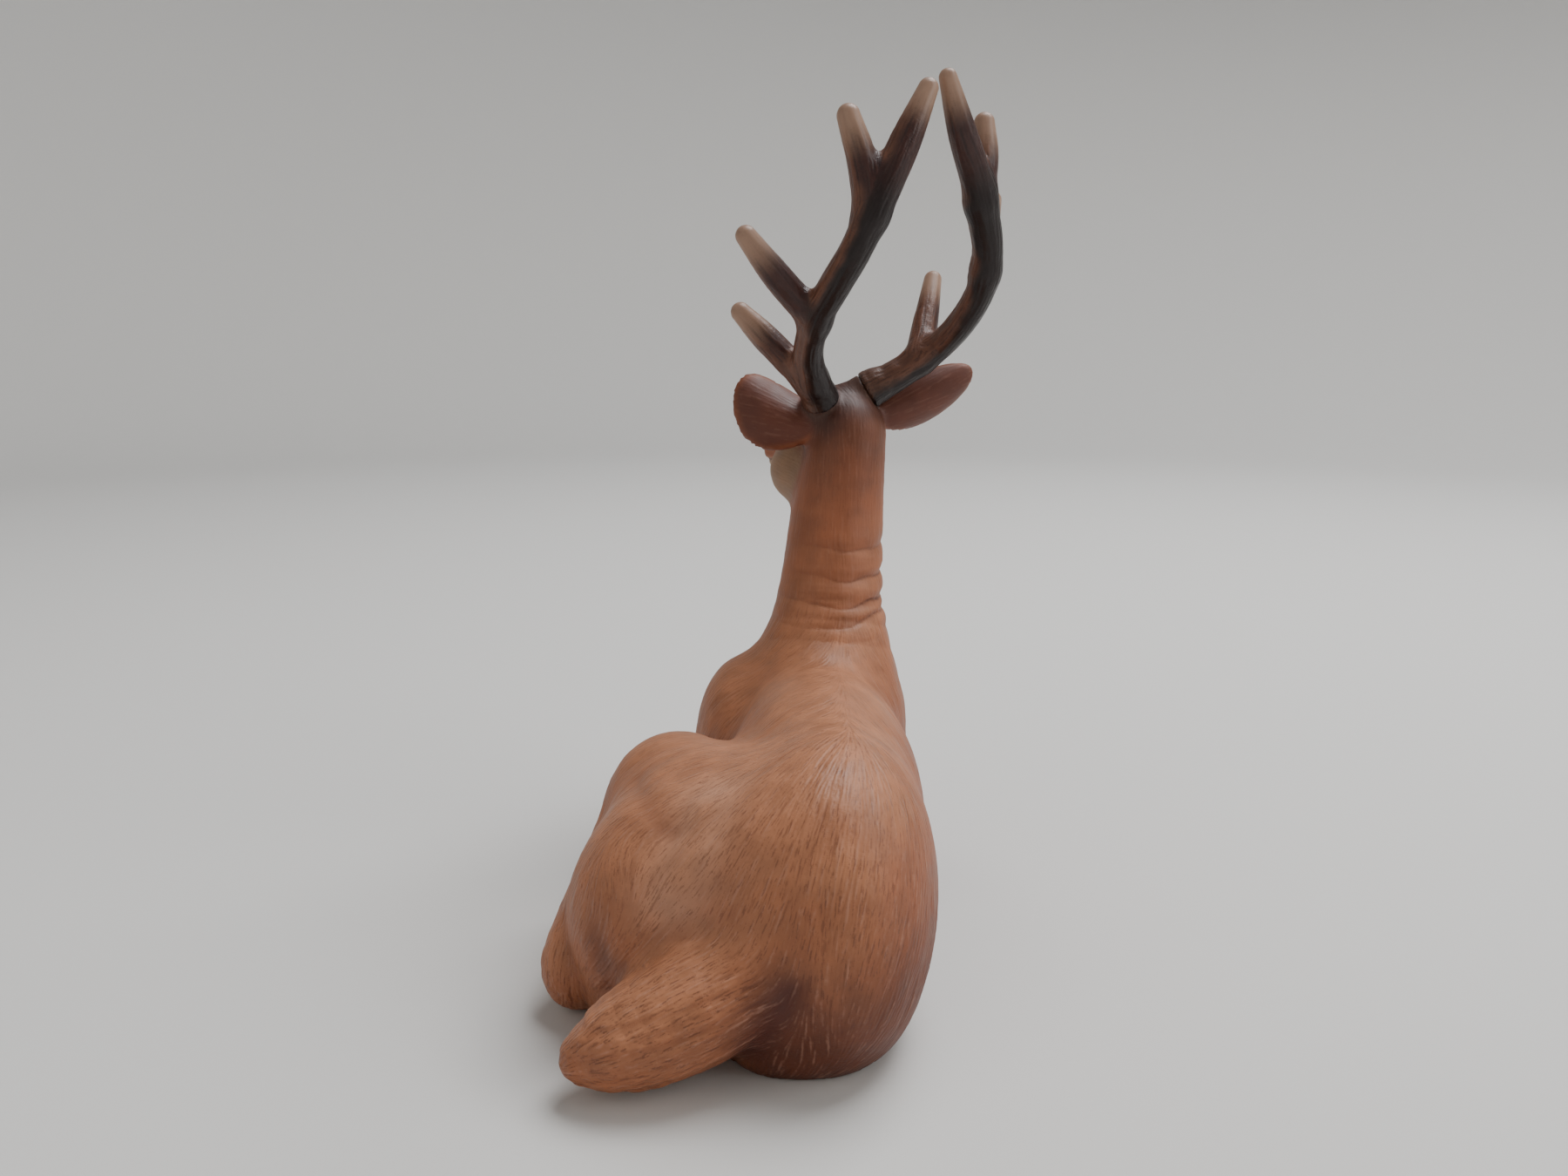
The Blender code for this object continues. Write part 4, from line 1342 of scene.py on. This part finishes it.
        # Wash in the clumps and face lines; wash with painted shade in hollows, folds and creases
        between = self.wash_and_shade_shares[0] * hair
        groove = between * np.clip(-0.4 - clumps, 0.0, 1.0)
        for share, cuts in zip(self.wash_and_shade_shares[1:], (hollow, folds, carved, lines)):
            groove = groove + share * np.clip(cuts, 0.0, 1.0)
        groove = np.clip(groove, 0.0, 0.8) * (1.0 - np.maximum(eyes, 0.6 * nose))
        gloss = sum(share * part for share, part in
                    zip(self.gloss_shares, (eyes, nose, self.hooves(points))))
        skin.mark("tone", self.tone(skin, -carved))
        skin.mark("hair_way", way)
        skin.mark("marks", np.column_stack((groove, hair, gloss)))
        return skin.piece("stag_body", "coat", self.finish.material())


@dataclass(frozen=True)
class AntlerTones:
    """The paints of an antler, as sRGB hex values."""

    side: str = "#6A4433"
    # Painted shade: the beam's and the tines' dark side, which faces away from the light
    rear: str = "#180C0A"
    tine: str = "#402520"
    foot: str = "#5A3C2E"
    tip: str = "#9E7F6B"


@dataclass
class Antler:
    """One antler's moulding: beam and tines, long grooves, beaded burr and paint."""

    form: StagForm
    line: AntlerLine
    voxel: float = 0.55
    rounds: int = 3
    joint_gap: float = 0.02
    groove_pitch: float = 1.0
    groove_reach: float = 4.5
    groove_depth: float = 0.09
    bead_pitch: float = 1.5
    bead_depth: float = 0.3
    # How far from the tip and from the burr their paint starts, and where it is full
    tip_reach: tuple[float, float] = (12.0, 2.0)
    foot_reach: tuple[float, float] = (16.0, 5.0)
    tones: AntlerTones = AntlerTones()
    finish: PaintedAntler = PaintedAntler()

    def __post_init__(self) -> None:
        """Work out the limbs and the noise once."""
        self.limbs = self.form.antler(self.line)
        self.grain = Grain(31)

    def distance(self, points: Array) -> Array:
        """How far points are outside the antler, cut flat just over its stub."""
        middle, along = self.form.burr_frame(self.line)
        under = self.joint_gap - (points - middle) @ along
        return np.maximum(blended(points, self.limbs), under)

    def lines(self, points: Array) -> tuple[Array, Array, Array]:
        """The nearest limb's direction, the way to its tip, and 1 where it is a tine."""
        best = np.full(len(points), np.inf)
        way = np.zeros((len(points), 3))
        to_tip, on_tine = np.zeros((2, len(points)))
        for number, limb in enumerate(self.limbs[:-1]):
            outside, along, _ = limb.nearest(points)
            nearer = outside < best
            best = np.where(nearer, outside, best)
            way[nearer] = along[nearer]
            to_tip = np.where(nearer, norms(points - limb.rows[-1, :3]), to_tip)
            on_tine = np.where(nearer, float(number > 0), on_tine)
        return way, to_tip, on_tine

    def build(self) -> bpy.types.Object:
        """Make the antler."""
        name = self.line.side.name.lower()
        skin = Skin("antler_" + name, self.voxel)
        skin.settle(self.distance, self.rounds)
        points = skin.points
        way, to_tip, on_tine = self.lines(points)
        on_tine = np.maximum(skin.smoothed(on_tine, 12), eased(to_tip, 30.0, 16.0))
        normals = skin.normals()
        way = tangent(skin.smoothed(tangent(way, normals), 6), normals)
        middle, along = self.form.burr_frame(self.line)
        tip = eased(skin.smoothed(to_tip, 6), *self.tip_reach)
        low = eased(norms(points - middle), *self.foot_reach)
        strokes = self.grain.strokes(points, way, self.groove_pitch, self.groove_reach)
        beads = np.clip(-self.grain.at(points, self.bead_pitch), 0.0, 1.0)
        depth = (self.groove_depth * np.clip(0.3 - strokes, 0.0, 2.0) * (1.0 - 0.8 * tip)
                 * (1.0 - 0.6 * low))
        solid = eased((points - middle) @ along, 0.6, 1.6)
        skin.sink((depth + self.bead_depth * beads * low) * solid)
        paint = {key: linear(value) for key, value in vars(self.tones).items()}
        # Painted shade on the side that faces the shaded way, and darker paint towards the top
        rear = eased(normals @ unit(self.line.shaded_way)
                     + 0.12 * self.grain.at(points, 3.0)
                     + 0.45 * eased(points[:, 2], 134.0, 150.0), 0.1, 0.65)
        # The painted shade's colour, darkest on the beam
        dark = mixed(paint["rear"], paint["tine"], on_tine)
        skin.mark("tone", sprayed(paint["side"], ((paint["foot"], low), (dark, rear),
                                                  (paint["tip"], 0.95 * tip))))
        skin.mark("hair_way", way)
        groove = 0.35 * np.clip(depth / 0.16, 0.0, 1.0) * (1.0 - tip)
        skin.mark("marks", np.column_stack((groove, 1.0 - 0.85 * tip, 0.06 * rear)))
        return skin.piece("stag_antler_" + name, "antler", self.finish.material())


# The studio


@dataclass(frozen=True)
class SoftLight:
    """A square soft light aimed at the stag."""

    name: str
    place: Place
    size: float
    power: float
    colour: str


@dataclass
class Studio:
    """A pale floor that curves up into its own backdrop all round, soft lights, the camera."""

    floor_colour: str = "#DAD8D4"
    inner: float = 1.1
    outer: float = 2.4
    rings: int = 25
    sides: int = 96
    height: float = 1.8
    camera_place: Place = (3.004, 277.279, 141.0)
    camera_tilt: float = 12.0
    lens: float = 28.0
    sensor: float = 36.0
    aim: Place = (0.0, 0.0, 0.08)
    sky_power: float = 0.22
    lights: tuple[SoftLight, ...] = (
        SoftLight("window light", (-0.45, -0.35, 1.3), 0.9, 22.0, "#FBFCFF"),
        SoftLight("side light", (-1.1, 0.35, 0.7), 0.8, 5.0, "#FFFFFF"),
        SoftLight("room light", (0.9, 0.9, 0.9), 1.4, 3.0, "#FFF3E6"),
    )

    def floor(self) -> None:
        """A flat disc whose rim rises, z = h t² (3 - 2 t) from the inner to the outer radius."""
        radius = np.concatenate((np.linspace(0.001, self.inner, 6),
                                 np.linspace(self.inner, self.outer, self.rings)[1:]))
        angle = np.linspace(0.0, math.tau, self.sides + 1)[:-1]
        rise = self.height * eased(radius, self.inner, self.outer) ** 1.5
        grid = np.stack((radius[:, None] * np.cos(angle), radius[:, None] * np.sin(angle),
                         np.broadcast_to(rise[:, None], (len(radius), len(angle)))), axis=2)
        count = self.sides
        ring, step = np.meshgrid(np.arange(len(radius) - 1), np.arange(count), indexing="ij")
        first = (ring * count + step).ravel()
        after = (ring * count + (step + 1) % count).ravel()
        faces = np.column_stack((first, first + count, after + count, after)).tolist()
        mesh = bpy.data.meshes.new("studio_floor")
        mesh.from_pydata(grid.reshape(-1, 3).tolist(), [], [*faces, list(range(count))])
        mesh.shade_smooth()
        made = bpy.data.materials.new("matt paper backdrop")
        made.use_nodes = True
        tree = made.node_tree
        shader = tree.nodes["Principled BSDF"]
        shader.inputs["Base Color"].default_value = (*linear(self.floor_colour), 1.0)
        shader.inputs["Roughness"].default_value = 0.9
        mesh.materials.append(made)
        shown("studio_floor", mesh)

    def light(self) -> None:
        """The soft lights, and a dim even sky."""
        for lamp in self.lights:
            data = bpy.data.lights.new(lamp.name, "AREA")
            data.size = lamp.size
            data.energy = lamp.power
            data.color = linear(lamp.colour)
            thing = shown(lamp.name, data)
            thing.location = lamp.place
            towards = Vector(self.aim) - Vector(lamp.place)
            thing.rotation_euler = towards.to_track_quat("-Z", "Y").to_euler()
        world = bpy.data.worlds.new("even sky")
        world.use_nodes = True
        sky = world.node_tree.nodes["Background"]
        sky.inputs["Color"].default_value = (0.8, 0.85, 0.9, 1.0)
        sky.inputs["Strength"].default_value = self.sky_power
        bpy.context.scene.world = world

    def camera(self) -> None:
        """The camera where the photograph was taken, behind the stag and a little above."""
        data = bpy.data.cameras.new("camera")
        data.lens = self.lens
        data.sensor_width = self.sensor
        data.clip_start = 0.01
        thing = shown("camera", data)
        thing.location = Vector(self.camera_place) * MM
        thing.rotation_euler = Euler((math.radians(90.0 - self.camera_tilt), 0.0, math.pi))
        bpy.context.scene.camera = thing


def main() -> None:
    """Build the stag and its studio."""
    logging.basicConfig(level=logging.INFO, format="%(name)s: %(message)s")
    sub_assemblies = (StagBody(FORM), *[Antler(FORM, line) for line in ANTLER_LINES])
    for assembly in sub_assemblies:
        piece = assembly.build()
        LOG.info("%s: %d corners, %d faces", piece.name, len(piece.data.vertices),
                 len(piece.data.polygons))
    studio = Studio()
    studio.floor()
    studio.light()
    studio.camera()


if __name__ == "__main__":
    main()
